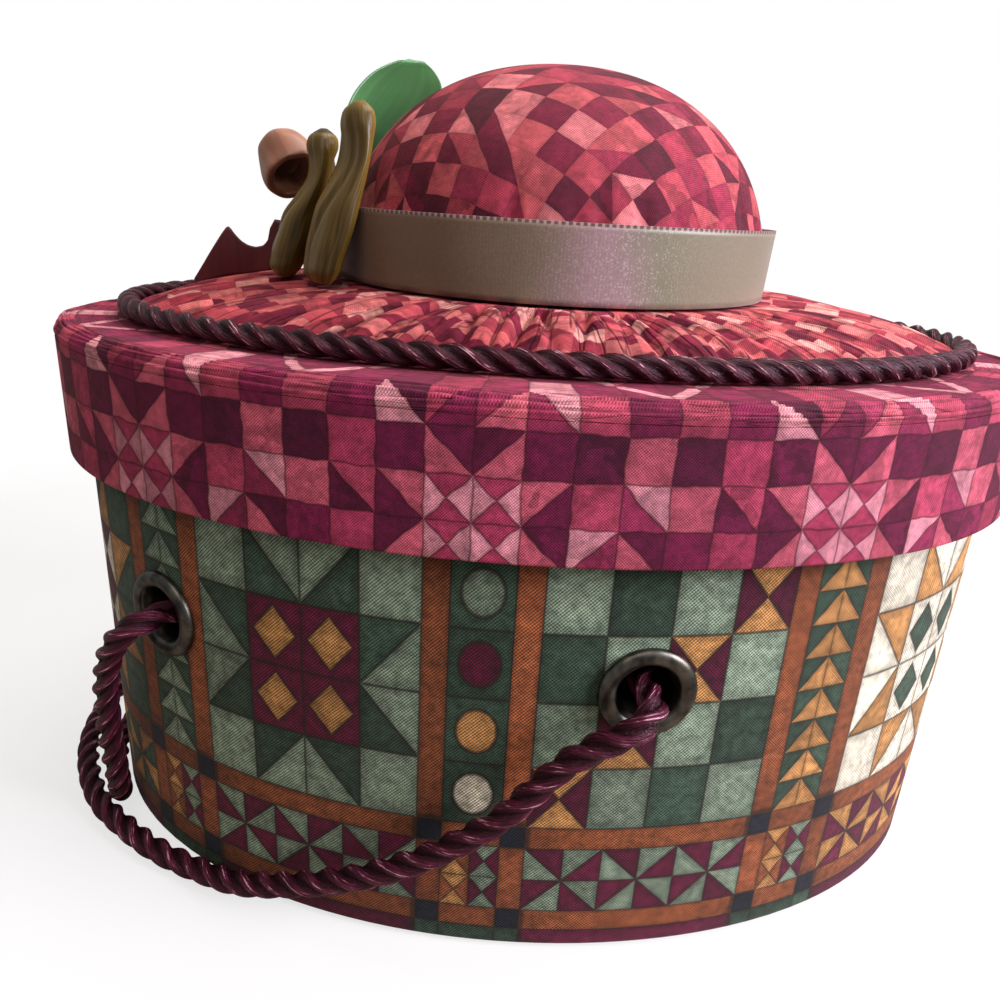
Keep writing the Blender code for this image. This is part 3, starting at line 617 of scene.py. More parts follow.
@dataclass(frozen=True)
class Satin:
    """Satin or organza ribbon: the light that long floating yarns draw out in streaks along the cloth is painted into
    its colour as a sheen.
    """

    name: str
    colour: str
    # The painted sheen's colour.
    light: str
    roughness: float = 0.38
    sheen: float = 0.4
    streak: float = 0.0012
    anisotropic: float = 0.35
    selvedge: float = 1.0
    gloss: float = 0.5

    def material(self) -> Material:
        """Make the material, with a dark selvedge above its height on the cloth."""
        fine = 1.0 / self.streak
        steps = {
            "stretched": ("turn", "cloth", (0.0, 0.0, 0.0), (fine, fine * 0.06, 1.0)),
            "yarns": ("noise", "stretched", 1.0, 4.0),
            # Painted sheen: the colour turns towards the light colour along the yarn streaks and where the cloth is
            # seen edge-on.
            "layer": ("facing", 0.35),
            "lift": ("ADD", "yarns", "layer"),
            "share": ("range", "lift", 0.35, 1.25),
            "satin": ("mix", "share", self.colour, self.light),
            "edge": ("range", "on.1", self.selvedge - 0.0004, self.selvedge, 0.0, 0.8),
            "tone": ("mix", "edge", "satin", "#150d08"),
            "bump": ("bump", "yarns", 0.3, 0.0002),
        }
        surface = {
            "Base Color": "tone",
            "Normal": "bump",
            "Roughness": self.roughness,
            "Sheen Weight": self.sheen,
            "Anisotropic": self.anisotropic,
            "Specular IOR Level": self.gloss,
        }
        return make_material(self.name, ON_CLOTH | steps, surface)


@dataclass(frozen=True)
class ShotRibbon:
    """Shot satin hat ribbon: olive warp and mauve weft, a picot edge, and a painted sheen in the middle with painted
    glints in the yarn there.
    """

    width: float
    name: str = "shot_satin_ribbon"
    # The shot of the two yarns, from the left of the hat to its right; the light mauve near the middle is a painted
    # sheen.
    shot: tuple[tuple[float, str], ...] = (
        (0.0, "#714a30"),
        (0.25, "#735842"),
        (0.45, "#847260"),
        (0.58, "#a08286"),
        (0.70, "#7c7761"),
        (0.85, "#80745f"),
        (1.0, "#76725b"),
    )
    stitch: float = 0.0017
    # A real rib is 0.3 mm, too fine to show, so it is drawn three times as coarse.
    rib: float = 0.0009

    def material(self) -> Material:
        """Make the material."""
        steps = {
            "patchy": ("noise", "at.Object", 26.0, 2.0, 0.5),
            "axes": ("split", "at.Object"),
            "along": ("range", "axes.0", -0.066, 0.066),
            "shift": ("SUBTRACT", "patchy", 0.5),
            "moved": ("MULTIPLY_ADD", "shift", 0.34, "along"),
            "ground": ("ramp", "moved", {"stops": [(place, linear(code)) for place, code in self.shot]}),
            "yarns": ("times", "cloth", (2600.0, 2600.0, 1.0)),
            "cells": ("floor", "yarns"),
            "grain": ("speck", "cells", {"noise_dimensions": "2D"}),
            # Painted glints: light specks in the yarn, only where the painted sheen lies.
            "glint": ("range", "grain", 0.80, 1.0, 0.0, 0.30),
            "zone": ("range", "moved", 0.42, 0.60),
            "fade": ("range", "moved", 0.80, 0.66),
            "sheen": ("MULTIPLY", "zone", "fade"),
            "painted_glints": ("MULTIPLY", "glint", "sheen"),
            "level": ("range", "grain", 0.0, 1.0, 0.9, 1.1),
            "toned": ("scale", "ground", "level"),
            "painted_light": ("mix", "painted_glints", "toned", "#e3c6d0"),
            "top": ("DIVIDE", "on.1", self.width),
            "rim": ("range", "top", 0.955, 0.968),
            "stitch": ("MULTIPLY", "on.0", TURN / self.stitch),
            "dash": ("SINE", "stitch"),
            "picot": ("range", "dash", 0.1, 0.4),
            "edge": ("mix", "picot", "#4a1720", "#8b7266"),
            "whole": ("mix", "rim", "painted_light", "edge"),
            "rib": ("MULTIPLY", "on.0", TURN / self.rib),
            "cord": ("SINE", "rib"),
            "rough": ("MULTIPLY_ADD", "cord", 0.2, "grain"),
            "bump": ("bump", "rough", 0.12, 0.0002),
        }
        surface = {"Base Color": "whole", "Normal": "bump", "Roughness": 0.42, "Sheen Weight": 0.3, "Anisotropic": 0.3}
        return make_material(self.name, ON_CLOTH | ON_OBJECT | steps, surface)


@dataclass(frozen=True)
class TwistedRayon:
    """Glossy rayon cord: the light that long filaments catch along each strand is painted into the colour in thin
    bright lines, with painted shade in the grooves.
    """

    name: str
    # From the painted shade in the grooves, through the cord's own colour and its lit colour, to the filaments'
    # painted highlight.
    tones: tuple[str, str, str, str]
    lay: float
    gloss: str = "#e0a3b8"
    shine: float = 0.5
    # Real filaments are 0.02 mm, too fine to show, so they are drawn in bundles.
    filament: float = 0.0006
    roughness: float = 0.32

    def material(self) -> Material:
        """Make the material. Its cloth map runs round the cord and along it."""
        fine = 1.0 / self.filament
        tones = [(place, linear(code)) for place, code in zip((0.0, 0.52, 0.82, 0.95), self.tones)]
        steps = {
            "slip": ("MULTIPLY_ADD", "on.1", -self.lay, "on.0"),
            "laid": ("join", "slip", "on.1"),
            "drawn": ("times", "laid", (fine, fine * 0.12, 1.0)),
            "loose": ("noise", "drawn", 1.0, 3.0, 0.6),
            # Painted shade and highlight: the colour darkens into the grooves and the bright lines fall on the
            # strands' crests.
            "depth": ("attribute", {"attribute_name": "groove"}),
            "painted_light": ("MULTIPLY", "loose", "depth.Fac"),
            "share": ("range", "painted_light", 0.12, 0.66),
            "tone": ("ramp", "share", {"stops": tones}),
            "bump": ("bump", "loose", 1.0, 0.0008),
        }
        surface = {
            "Base Color": "tone",
            "Normal": "bump",
            "Roughness": self.roughness,
            "Specular Tint": self.gloss,
            "Specular IOR Level": self.shine,
        }
        return make_material(self.name, ON_CLOTH | steps, surface)


@dataclass(frozen=True)
class AntiqueBrass:
    """Pressed brass with a brown chemical patina: smooth, in cloudy patches of patina and rubbed metal."""

    name: str = "antique_brass"
    patina: str = "#3b3b38"
    rubbed: str = "#757067"

    def material(self) -> Material:
        """Make the material."""
        steps = {
            "cloudy": ("noise", "at.Object", 260.0, 5.0),
            "share": ("range", "cloudy", 0.35, 0.75),
            "tone": ("mix", "share", self.patina, self.rubbed),
            "rough": ("range", "cloudy", 0.0, 1.0, 0.28, 0.46),
            "bump": ("bump", "cloudy", 0.06, 0.0002),
        }
        surface = {"Base Color": "tone", "Roughness": "rough", "Normal": "bump", "Metallic": 1.0}
        return make_material(self.name, ON_OBJECT | steps, surface)


@dataclass(frozen=True)
class MouldedPlastic:
    """Injection-moulded polystyrene: smooth and slightly waxy, with a faint flow grain."""

    name: str
    colour: str
    roughness: float = 0.33

    def material(self) -> Material:
        """Make the material."""
        steps = {
            "flow": ("noise", "at.Object", 60.0, 3.0),
            "level": ("range", "flow", 0.0, 1.0, 0.95, 1.05),
            "toned": ("scale", linear(self.colour)[:3], "level"),
            "grain": ("noise", "at.Object", 1500.0, 2.0),
            "bump": ("bump", "grain", 0.08, 0.0002),
        }
        surface = {
            "Base Color": "toned",
            "Normal": "bump",
            "Roughness": self.roughness,
            "Subsurface Weight": 0.05,
            "Subsurface Scale": 0.002,
        }
        return make_material(self.name, ON_OBJECT | steps, surface)


@dataclass(frozen=True)
class GreyBoard:
    """Recycled grey board: matt, with short flecks of fibre."""

    name: str = "grey_board"
    colour: str = "#9a8d7b"

    def material(self) -> Material:
        """Make the material."""
        steps = {
            "fleck": ("noise", "at.Object", 900.0, 6.0),
            "level": ("range", "fleck", 0.0, 1.0, 0.78, 1.16),
            "toned": ("scale", linear(self.colour)[:3], "level"),
            "bump": ("bump", "fleck", 0.3, 0.0002),
        }
        surface = {"Base Color": "toned", "Normal": "bump", "Roughness": 0.92}
        return make_material(self.name, ON_OBJECT | steps, surface)


# ---- Cloth and cord meshes ----


@dataclass(frozen=True)
class Oval:
    """A level oval round the basket's centre, followed from the middle of its back."""

    half_length: float
    half_width: float

    @cached_property
    def turns(self) -> np.ndarray:
        """Fine steps of the oval's parameter."""
        return np.linspace(math.pi / 2, math.pi / 2 + TURN, 1441)

    @cached_property
    def distances(self) -> np.ndarray:
        """Distance along the oval at each of those steps."""
        points = np.stack([self.half_length * np.cos(self.turns), self.half_width * np.sin(self.turns)], axis=1)
        return np.concatenate([[0.0], np.cumsum(np.linalg.norm(np.diff(points, axis=0), axis=1))])

    @property
    def girth(self) -> float:
        """The distance once round."""
        return float(self.distances[-1])

    def turn(self, distance: float) -> float:
        """The oval's parameter at a distance along it."""
        return float(np.interp(distance, self.distances, self.turns))

    def place(self, turn: float, height: float, inset: float = 0.0) -> Vector:
        """The point at a parameter and a height, at an inset from the oval."""
        length, width = self.half_length - inset, self.half_width - inset
        return Vector((length * math.cos(turn), width * math.sin(turn), height))

    def within(self, turn: float, share: float, height: float) -> Vector:
        """The point at a parameter, a share of the way out and a height."""
        return Vector((self.half_length * share * math.cos(turn), self.half_width * share * math.sin(turn), height))


@dataclass(frozen=True)
class Section:
    """The edge-on outline of a layer of cloth, as (inset, height) corners."""

    corners: tuple[tuple[float, float], ...]

    @cached_property
    def distances(self) -> np.ndarray:
        """Distance along the outline at each corner."""
        steps = np.linalg.norm(np.diff(np.array(self.corners), axis=0), axis=1)
        return np.concatenate([[0.0], np.cumsum(steps)])

    def at(self, distance: float) -> tuple[float, ...]:
        """The inset and height at a distance along the outline."""
        return tuple(float(np.interp(distance, self.distances, values)) for values in zip(*self.corners))

    def marks(self, step: float) -> list[float]:
        """Distances of every corner, with steps between them.

        Args:
            step: the longest step in metres.

        Returns:
            The distances in order.
        """
        found = [0.0]
        for start, end in zip(self.distances, self.distances[1:]):
            pieces = max(1, math.ceil((end - start) / step))
            found.extend(start + (end - start) * (index + 1) / pieces for index in range(pieces))
        return found


ARC_STEPS = 5


def arc(
    inset: float, height: float, radius: float, start: float, end: float, steps: int = ARC_STEPS
) -> list[tuple[float, float]]:
    """Corners of a rounded edge.

    Args:
        inset: inset of the arc's centre.
        height: height of the arc's centre.
        radius: its radius.
        start: first angle in degrees, where 0 points outwards and 90 up.
        end: last angle.
        steps: number of steps.

    Returns:
        (inset, height) corners.
    """
    angles = [math.radians(start + (end - start) * step / steps) for step in range(steps + 1)]
    return [(inset - radius * math.cos(angle), height + radius * math.sin(angle)) for angle in angles]


def even(length: float, pieces: int) -> list[float]:
    """Even marks from 0 to a length."""
    return [length * index / pieces for index in range(pieces + 1)]


def runs(*parts: tuple[float, int]) -> list[float]:
    """Even marks through runs that follow one another, each a length and a number of pieces."""
    marks, start = [0.0], 0.0
    for length, pieces in parts:
        marks.extend(start + mark for mark in even(length, pieces)[1:])
        start += length
    return marks


def unit(value: float) -> float:
    """A value kept between 0 and 1."""
    return min(1.0, max(0.0, value))


def nearest_way(offset: np.ndarray, girth: float) -> np.ndarray:
    """Offsets round a closed line, taken the shorter way."""
    return (offset + girth / 2) % girth - girth / 2


def scattered(rng: np.random.Generator, loosest: tuple[float, float], count: int, girth: float) -> np.ndarray:
    """Uneven places round a closed line.

    Args:
        rng: the random numbers.
        loosest: the least and the greatest share of a gap.
        count: how many places.
        girth: the line's length.

    Returns:
        The places in order.
    """
    spacing = rng.uniform(*loosest, count)
    return np.cumsum(spacing) / spacing.sum() * girth


def smooth_steps(values: Sequence[float], places: Sequence[float], place: float) -> float:
    """Ease between table values.

    Args:
        values: the values of the table.
        places: where each one stands.
        place: where the value is wanted.

    Returns:
        A value on one smooth curve through the table.
    """
    index = int(np.clip(np.searchsorted(places, place) - 1, 0, len(places) - 2))
    span = places[index + 1] - places[index]
    share = unit((place - places[index]) / span)
    slopes = np.gradient(np.array(values), np.array(places))
    lead, trail = slopes[index] * span, slopes[index + 1] * span
    square, cube = share * share, share**3
    return float(
        (2 * cube - 3 * square + 1) * values[index]
        + (cube - 2 * square + share) * lead
        + (3 * square - 2 * cube) * values[index + 1]
        + (cube - square) * trail
    )


def cloth_grid(across: Sequence[float], along: Sequence[float], shape: Shape) -> Mesh:
    """Lay a grid of cloth on a surface and join the edges that meet.

    Args:
        across: marks on the cloth one way, in metres.
        along: marks the other way.
        shape: gives the place of each mark.

    Returns:
        The mesh, with its cloth map.
    """
    cloth = bmesh.new()
    laid = cloth.loops.layers.uv.new(CLOTH)
    columns, rows = len(across) - 1, len(along) - 1
    bmesh.ops.create_grid(cloth, x_segments=columns, y_segments=rows, size=1.0)
    marks = {
        corner: (round((corner.co.x + 1.0) / 2.0 * columns), round((corner.co.y + 1.0) / 2.0 * rows))
        for corner in cloth.verts
    }
    for face in cloth.faces:
        for loop in face.loops:
            column, row = marks[loop.vert]
            loop[laid].uv = (across[column], along[row])
    for corner, (column, row) in marks.items():
        corner.co = shape(across[column], along[row])
    bmesh.ops.remove_doubles(cloth, verts=cloth.verts, dist=0.00001)
    bmesh.ops.dissolve_degenerate(cloth, edges=cloth.edges, dist=0.000005)
    bmesh.ops.recalc_face_normals(cloth, faces=cloth.faces)
    return cloth


def remap(cloth: Mesh, change: Callable[[bmesh.types.BMLoop, Vector], tuple[float, float]]) -> Mesh:
    """Change a mesh's cloth map.

    Args:
        cloth: the mesh.
        change: gives a corner's new place on the cloth from the corner and its old place.

    Returns:
        The same mesh.
    """
    laid = cloth.loops.layers.uv[CLOTH]
    for face in cloth.faces:
        for loop in face.loops:
            loop[laid].uv = change(loop, loop[laid].uv)
    return cloth


def lay_flat(cloth: Mesh) -> Mesh:
    """Map a level piece of cloth from straight above."""
    return remap(cloth, lambda loop, _: (loop.vert.co.x, loop.vert.co.y))


def flat_oval(ring: Oval, height: float, rows: int) -> Mesh:
    """Cut a level oval of cloth.

    Args:
        ring: its edge.
        height: its height.
        rows: faces from its middle to its edge.

    Returns:
        The mesh.
    """
    reach = ring.half_width

    def shape(around: float, out: float) -> Vector:
        """The oval's surface, from its middle to its edge."""
        return ring.within(ring.turn(around), out / reach, height)

    return lay_flat(cloth_grid(even(ring.girth, 120), even(reach, rows), shape))


def close_ends(mesh: Mesh) -> Mesh:
    """Fill the open ends of a tube."""
    bmesh.ops.holes_fill(mesh, edges=[edge for edge in mesh.edges if edge.is_boundary], sides=0)
    bmesh.ops.recalc_face_normals(mesh, faces=mesh.faces)
    return mesh


def add_object(name: str, data: bpy.types.ID) -> Piece:
    """Put a mesh, a lamp or a camera into the scene."""
    added = bpy.data.objects.new(name, data)
    bpy.context.scene.collection.objects.link(added)
    return added


def mesh_object(name: str, mesh: Mesh, *materials: Material) -> Piece:
    """Turn a mesh into an object in the scene."""
    data = bpy.data.meshes.new(name)
    mesh.to_mesh(data)
    mesh.free()
    for material in materials:
        data.materials.append(material)
    return add_object(name, data)


def sharpen(piece: Piece, degrees: float) -> None:
    """Make the edges above an angle sharp."""
    piece.data.set_sharp_from_angle(angle=math.radians(degrees))


def make_piece(name: str, mesh: Mesh, look: Look, body: Body, *nodes: str, sharp: float = 180.0) -> Piece:
    """Turn a mesh into a piece that rides on a body.

    Args:
        name: the piece's name.
        mesh: its mesh, in the frame's own place.
        look: its finish and slot.
        body: the body that carries it.
        nodes: the frame's nodes that it stands for.
        sharp: the angle in degrees above which an edge is sharp.

    Returns:
        The object.
    """
    piece = mesh_object(name, mesh, look.material)
    piece.data.shade_smooth()
    if sharp < 180.0:
        sharpen(piece, sharp)
    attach(piece, body.value)
    if nodes:
        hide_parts(*nodes)
    LOG.info("%s: %d faces on %s", name, len(piece.data.polygons), body.value)
    return piece


def apply_modifiers(piece: Piece) -> None:
    """Bake a piece's modifiers into its mesh."""
    bpy.context.view_layer.update()
    graph = bpy.context.evaluated_depsgraph_get()
    evaluated = piece.evaluated_get(graph)
    baked = bpy.data.meshes.new_from_object(evaluated, preserve_all_data_layers=True, depsgraph=graph)
    piece.modifiers.clear()
    piece.data = baked


def finish_sheet(
    piece: Piece, thickness: float, sharp: float = 0.0, punched: bool = False
) -> None:
    """Args:
        piece: the piece, still without thickness.
        thickness: the cloth's thickness.
        sharp: the angle in degrees above which an edge is sharp.
        punched: whether the eyelets go through it.
    """
    solid = piece.modifiers.new("thickness", "SOLIDIFY")
    solid.thickness, solid.offset, solid.use_even_offset = thickness, 0.0, True
    apply_modifiers(piece)
    if punched:
        punch_eyelet_holes(piece)
    if sharp:
        sharpen(piece, sharp)
    places = np.array([loop.uv[:] for loop in piece.data.uv_layers[CLOTH].data])


@dataclass(frozen=True)
class TwistedCord:
    """A cord of three strands laid together, as one lobed tube with deep grooves."""

    diameter: float
    pitch: float
    strands: int = 3
    around: int = 30
    left_handed: bool = False

    def reach(self, angle: float) -> float:
        """The tube's radius at an angle from the middle of a strand."""
        radius = self.diameter / 2
        strand = radius / (1.0 + 1.0 / math.sin(math.pi / self.strands)) * 1.06
        offset = radius - strand
        bend = (angle + math.pi / self.strands) % (TURN / self.strands) - math.pi / self.strands
        inside = max(0.0, strand**2 - (offset * math.sin(bend)) ** 2)
        return offset * math.cos(bend) + math.sqrt(inside)

    def mesh(self, points: list[Vector], frames: list[tuple[Vector, Vector]], closed: bool) -> Mesh:
        """Sweep the lobed tube along a line.

        Args:
            points: places along the cord's middle.
            frames: two directions across it at each place.
            closed: whether the last place meets the first.

        Returns:
            The mesh, with its cloth map along and round the cord.
        """
        along = [0.0, *np.cumsum([(after - before).length for before, after in zip(points, points[1:])]).tolist()]
        pitch = along[-1] / max(1, round(along[-1] / self.pitch)) if closed else self.pitch
        hand = -1.0 if self.left_handed else 1.0
        girth = math.pi * self.diameter
        index_of = {round(distance, 9): index for index, distance in enumerate(along)}

        def shape(around: float, distance: float) -> Vector:
            """The tube's surface at a place round it and a distance along it."""
            index = index_of[round(distance, 9)]
            across, up = frames[index]
            angle = TURN * around / girth
            reach = self.reach(angle - hand * TURN * distance / pitch)
            return points[index] + across * (reach * math.cos(angle)) + up * (reach * math.sin(angle))

        tube = cloth_grid(even(girth, self.around), along, shape)
        self.mark_grooves(tube, points)
        return tube if closed else close_ends(tube)

    def mark_grooves(self, tube: Mesh, points: list[Vector]) -> None:
        """Store how far each corner stands out of the grooves, from a quarter to 1; the cord's material paints shade
        into the grooves from it.

        Args:
            tube: the tube.
            points: places along the cord's middle.
        """
        layer = tube.verts.layers.float.new("groove")
        line = np.array([tuple(point) for point in points])
        lowest, highest = self.reach(math.pi / self.strands), self.diameter / 2
        for corner in tube.verts:
            nearest = np.linalg.norm(line - np.array(corner.co), axis=1).min()
            corner[layer] = 0.25 + 0.75 * unit(float((nearest - lowest) / (highest - lowest)))


def carried_frames(points: list[Vector]) -> list[tuple[Vector, Vector]]:
    """Two directions across a line at each of its points, with no twist of their own.

    Args:
        points: places along the line.

    Returns:
        The two directions at each place.
    """
    ends = zip([points[0], *points], [*points[1:], points[-1]])
    tangents = [(after - before).normalized() for before, after in ends]
    across = tangents[0].orthogonal().normalized()
    frames = []
    for tangent in tangents:
        across = (across - tangent * across.dot(tangent)).normalized()
        frames.append((across, tangent.cross(across)))
    return frames


def aimed(direction: Sequence[float], axis: str = "Z") -> Matrix:
    """A turn that points an axis along a direction."""
    return Vector(direction).to_track_quat(axis, "Y").to_matrix().to_4x4()


# ---- The frame's places ----

FABRIC = 0.0007
SATIN_CLOTH = 0.0005
GLUE_LINE = 0.0003
HALF_CLOTH = FABRIC / 2
LID = Oval(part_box("lid_top_cover")[1].x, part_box("lid_top_cover")[1].y)


def inset(node: str) -> float:
    """How far a node's outside is inside the lid's outer oval."""
    return LID.half_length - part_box(node)[1].x


def heights(node: str) -> tuple[float, float]:
    """A node's lowest and highest place."""
    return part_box(node)[0].z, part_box(node)[1].z


FACE = inset("outer_cover")
BOX = Oval(LID.half_length - FACE, LID.half_width - FACE)
BOX_CARD = 0.0026
BOX_LINING = 0.0030
HEM_FRONT = inset("wall_board") + BOX_CARD + GLUE_LINE
LINING_BACK = inset("wall_lining") + BOX_LINING
LID_TOP = heights("lid_top_cover")[1]
LID_BOTTOM, BAND_TOP = heights("lid_band_cover")
BRIM_BOTTOM, BRIM_TOP = heights("brim_pad")[0], 0.1764
CROWN_BOTTOM, CROWN_TOP = heights("crown_cushion")
CROWN_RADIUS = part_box("crown_cushion")[1].x
RIBBON_WIDTH = heights("hat_band")[1] - heights("hat_band")[0]
TRIM_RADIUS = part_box("hat_band")[1].x + GLUE_LINE
EYELET_ANGLES = {"front_left": -136.0, "front_right": -79.0, "back_right": 44.0, "back_left": 101.0}
EYELET_HEIGHT = sum(heights("eyelet_front_left")) / 2
EYELET_BORE = 0.0150
EYELET_BARREL = EYELET_BORE / 2 + 0.0007
EYELET_DIAMETER = 0.0256
# From the knot behind the right eyelet, down the wall, along the table round the left end, and back up.
HANDLE_ROUTE = (
    (0.0262, -0.0789, 0.0865), (0.0275, -0.0895, 0.0865), (0.0278, -0.0975, 0.086), (0.0225, -0.102, 0.083),
    (0.0145, -0.101, 0.0775), (0.0065, -0.1, 0.07), (-0.0087, -0.099, 0.0515), (-0.0277, -0.097, 0.036),
    (-0.05, -0.0925, 0.0228), (-0.0783, -0.0828, 0.0095), (-0.0969, -0.0735, 0.0043), (-0.1118, -0.0668, 0.004),
    (-0.125, -0.0585, 0.004), (-0.1393, -0.047, 0.004), (-0.1508, -0.0315, 0.004), (-0.159, -0.013, 0.004),
    (-0.163, 0.01, 0.004), (-0.1632, 0.032, 0.004), (-0.161, 0.05, 0.004), (-0.153, 0.062, 0.004),
    (-0.1425, 0.064, 0.004), (-0.1325, 0.0575, 0.004), (-0.1305, 0.046, 0.004), (-0.1375, 0.0365, 0.004),
    (-0.144, 0.025, 0.004), (-0.1482, 0.008, 0.004), (-0.148, -0.009, 0.004), (-0.144, -0.025, 0.004),
    (-0.1378, -0.0368, 0.0042), (-0.1325, -0.046, 0.0085), (-0.129, -0.053, 0.02), (-0.127, -0.0575, 0.035),
    (-0.125, -0.0612, 0.05), (-0.1222, -0.0648, 0.064), (-0.1175, -0.069, 0.0765), (-0.112, -0.0712, 0.0842),
    (-0.1075, -0.0692, 0.0865), (-0.1037, -0.0634, 0.0865), (-0.098, -0.0547, 0.0865),
)  # fmt: skip


def wall_place(angle: float, depth: float, height: float) -> Matrix:
    """A frame on the box's wall whose Z points straight out of it.

    Args:
        angle: the oval's parameter.
        depth: inset from the lid's outer oval.
        height: height above the standing surface.

    Returns:
        The frame.
    """
    point = LID.place(angle, height, depth)
    outward = Vector((point.x / (LID.half_length - depth) ** 2, point.y / (LID.half_width - depth) ** 2, 0.0))
    return Matrix.Translation(point) @ aimed(outward.normalized())


def turned(profile: Sequence[tuple[float, float]], place: Matrix, steps: int) -> Mesh:
    """Turn a closed (radius, height) outline about its own Z and put it in place.

    Args:
        profile: the outline's corners.
        place: where its own axes go.
        steps: faces round the turn.

    Returns:
        The mesh.
    """
    body = bmesh.new()
    corners = [body.verts.new((radius, 0.0, height)) for radius, height in profile]
    edges = [body.edges.new(pair) for pair in zip(corners, corners[1:] + corners[:1])]
    bmesh.ops.spin(
        body,
        geom=corners + edges,
        cent=(0.0, 0.0, 0.0),
        axis=(0.0, 0.0, 1.0),
        angle=TURN,
        steps=steps,
        use_merge=True,
        use_duplicate=False,
    )
    bmesh.ops.remove_doubles(body, verts=body.verts, dist=0.000001)
    bmesh.ops.transform(body, matrix=place, verts=body.verts)
    bmesh.ops.recalc_face_normals(body, faces=body.faces)
    return body


def punch_eyelet_holes(piece: Piece) -> None:
    """Cut the four eyelet holes through a layer of the wall."""
    radius = EYELET_BARREL + GLUE_LINE
    cutters = bmesh.new()
    for degrees in EYELET_ANGLES.values():
        place = wall_place(math.radians(degrees), FACE, EYELET_HEIGHT) @ Matrix.Translation((0.0, 0.0, -0.004))
        bmesh.ops.create_cone(
            cutters, cap_ends=True, segments=48, radius1=radius, radius2=radius, depth=0.02, matrix=place
        )
    cutter = mesh_object("eyelet_cutters", cutters)
    boolean = piece.modifiers.new("eyelet_holes", "BOOLEAN")
    boolean.operation, boolean.solver, boolean.object = "DIFFERENCE", "EXACT", cutter
    apply_modifiers(piece)
    bpy.data.objects.remove(cutter, do_unlink=True)


def ring_cloth(ring: Oval, section: Section, across: Sequence[float], along: Sequence[float]) -> Mesh:
    """Wrap cloth round an oval, along a section of insets and heights.

    Args:
        ring: the oval that the cloth's length is measured on.
        section: the cloth's outline, inset from the lid's oval.
        across: marks round the oval.
        along: marks along the section.

    Returns:
        The mesh.
    """
    places = {distance: section.at(distance) for distance in along}
    turns = {distance: ring.turn(distance) for distance in across}
    return cloth_grid(across, along, lambda u, v: LID.place(turns[u], places[v][1], places[v][0]))


@dataclass(frozen=True)
class Studio:
    """Camera, lights, white surround and the pale table."""

    place: Point = (-0.01382679, -0.26103668, 0.19956452)
    forward: Point = (0.00901714, 0.93688937, -0.34950965)
    roll: float = 3.404
    lens: float = 28.751534
    near: float = 0.20
    far: float = 0.50
    lift: float = 0.70
    # Each softbox's name, place, side in metres, power in watts and colour.
    softboxes: tuple[tuple[str, Point, float, float, str], ...] = (
        ("window_softbox", (1.15, -0.44, 0.72), 0.7, 33.0, "#f6f3ff"),
        ("ceiling_softbox", (0.30, 0.20, 1.25), 0.8, 11.5, "#fff8f2"),
        ("weak_fill_softbox", (-0.10, -0.80, 1.15), 0.8, 5.0, "#fff0e2"),
    )

    def build(self) -> None:
        """Set the camera, the light and the table."""
        view = bpy.data.cameras.new("camera")
        view.lens, view.sensor_width, view.clip_start = self.lens, 36.0, 0.01
        camera = add_object("camera", view)
        roll = Matrix.Rotation(math.radians(self.roll), 4, "Z")
        camera.matrix_world = Matrix.Translation(self.place) @ aimed(self.forward, "-Z") @ roll
        bpy.context.scene.camera = camera
        bpy.context.scene.view_settings.view_transform = "Standard"
        for name, place, size, power, colour in self.softboxes:
            lamp = bpy.data.lights.new(name, "AREA")
            lamp.shape, lamp.size, lamp.energy, lamp.color = "SQUARE", size, power, linear(colour)[:3]
            light = add_object(name, lamp)
            toward = Vector((0.0, 0.0, 0.1)) - Vector(place)
            light.matrix_world = Matrix.Translation(place) @ aimed(toward, "-Z")
            light.visible_camera = False
        self.surround()
        self.table()
        LOG.info("studio ready")

    def surround(self) -> None:
        """Make the world white to the eye and softer as a light."""
        world = bpy.data.worlds.new("white_surround")
        world.use_nodes = True
        steps = {
            "ray": ("path",),
            "seen": ("MAXIMUM", "ray.Is Camera Ray", "ray.Is Transmission Ray"),
            "soft": ("MULTIPLY_ADD", "ray.Is Glossy Ray", 0.3, 0.0),
            "white": ("MAXIMUM", "seen", "soft"),
            "strength": ("range", "white", 0.0, 1.0, 0.15, 1.0),
        }
        tree = world.node_tree
        found = wire(tree, steps)
        plug(tree, tree.nodes["Background"], {"Color": linear("#ffffff"), "Strength": found["strength"]})
        bpy.context.scene.world = world

    def table(self) -> None:
        """Lay a pale matt table that turns to plain white away from the basket."""
        steps = {
            "span": ("length", "at.Object"),
            "share": ("ease", "span", self.near, self.far),
            "ray": ("path",),
            "paper": ("mix", "ray.Is Camera Ray", "#96897c", "#f6f4f3"),
            "level": ("range", "ray.Is Camera Ray", 0.0, 1.0, 0.25, 1.0),
            "glow": ("glow", "#ffffff", "level"),
            "seen": ("MULTIPLY", "ray.Is Camera Ray", self.lift),
            "white": ("MAXIMUM", "share", "seen"),
            "whole": ("blend", "white", "shader", "glow"),
        }
        surface = {"Base Color": "paper", "Roughness": 0.9}
        material = make_material("white_paper_sweep", ON_OBJECT | steps, surface, "whole")
        sweep = bmesh.new()
        bmesh.ops.create_circle(sweep, cap_ends=True, segments=96, radius=12.0)
        table = mesh_object("table", sweep, material)
        table.location.z = -0.0002


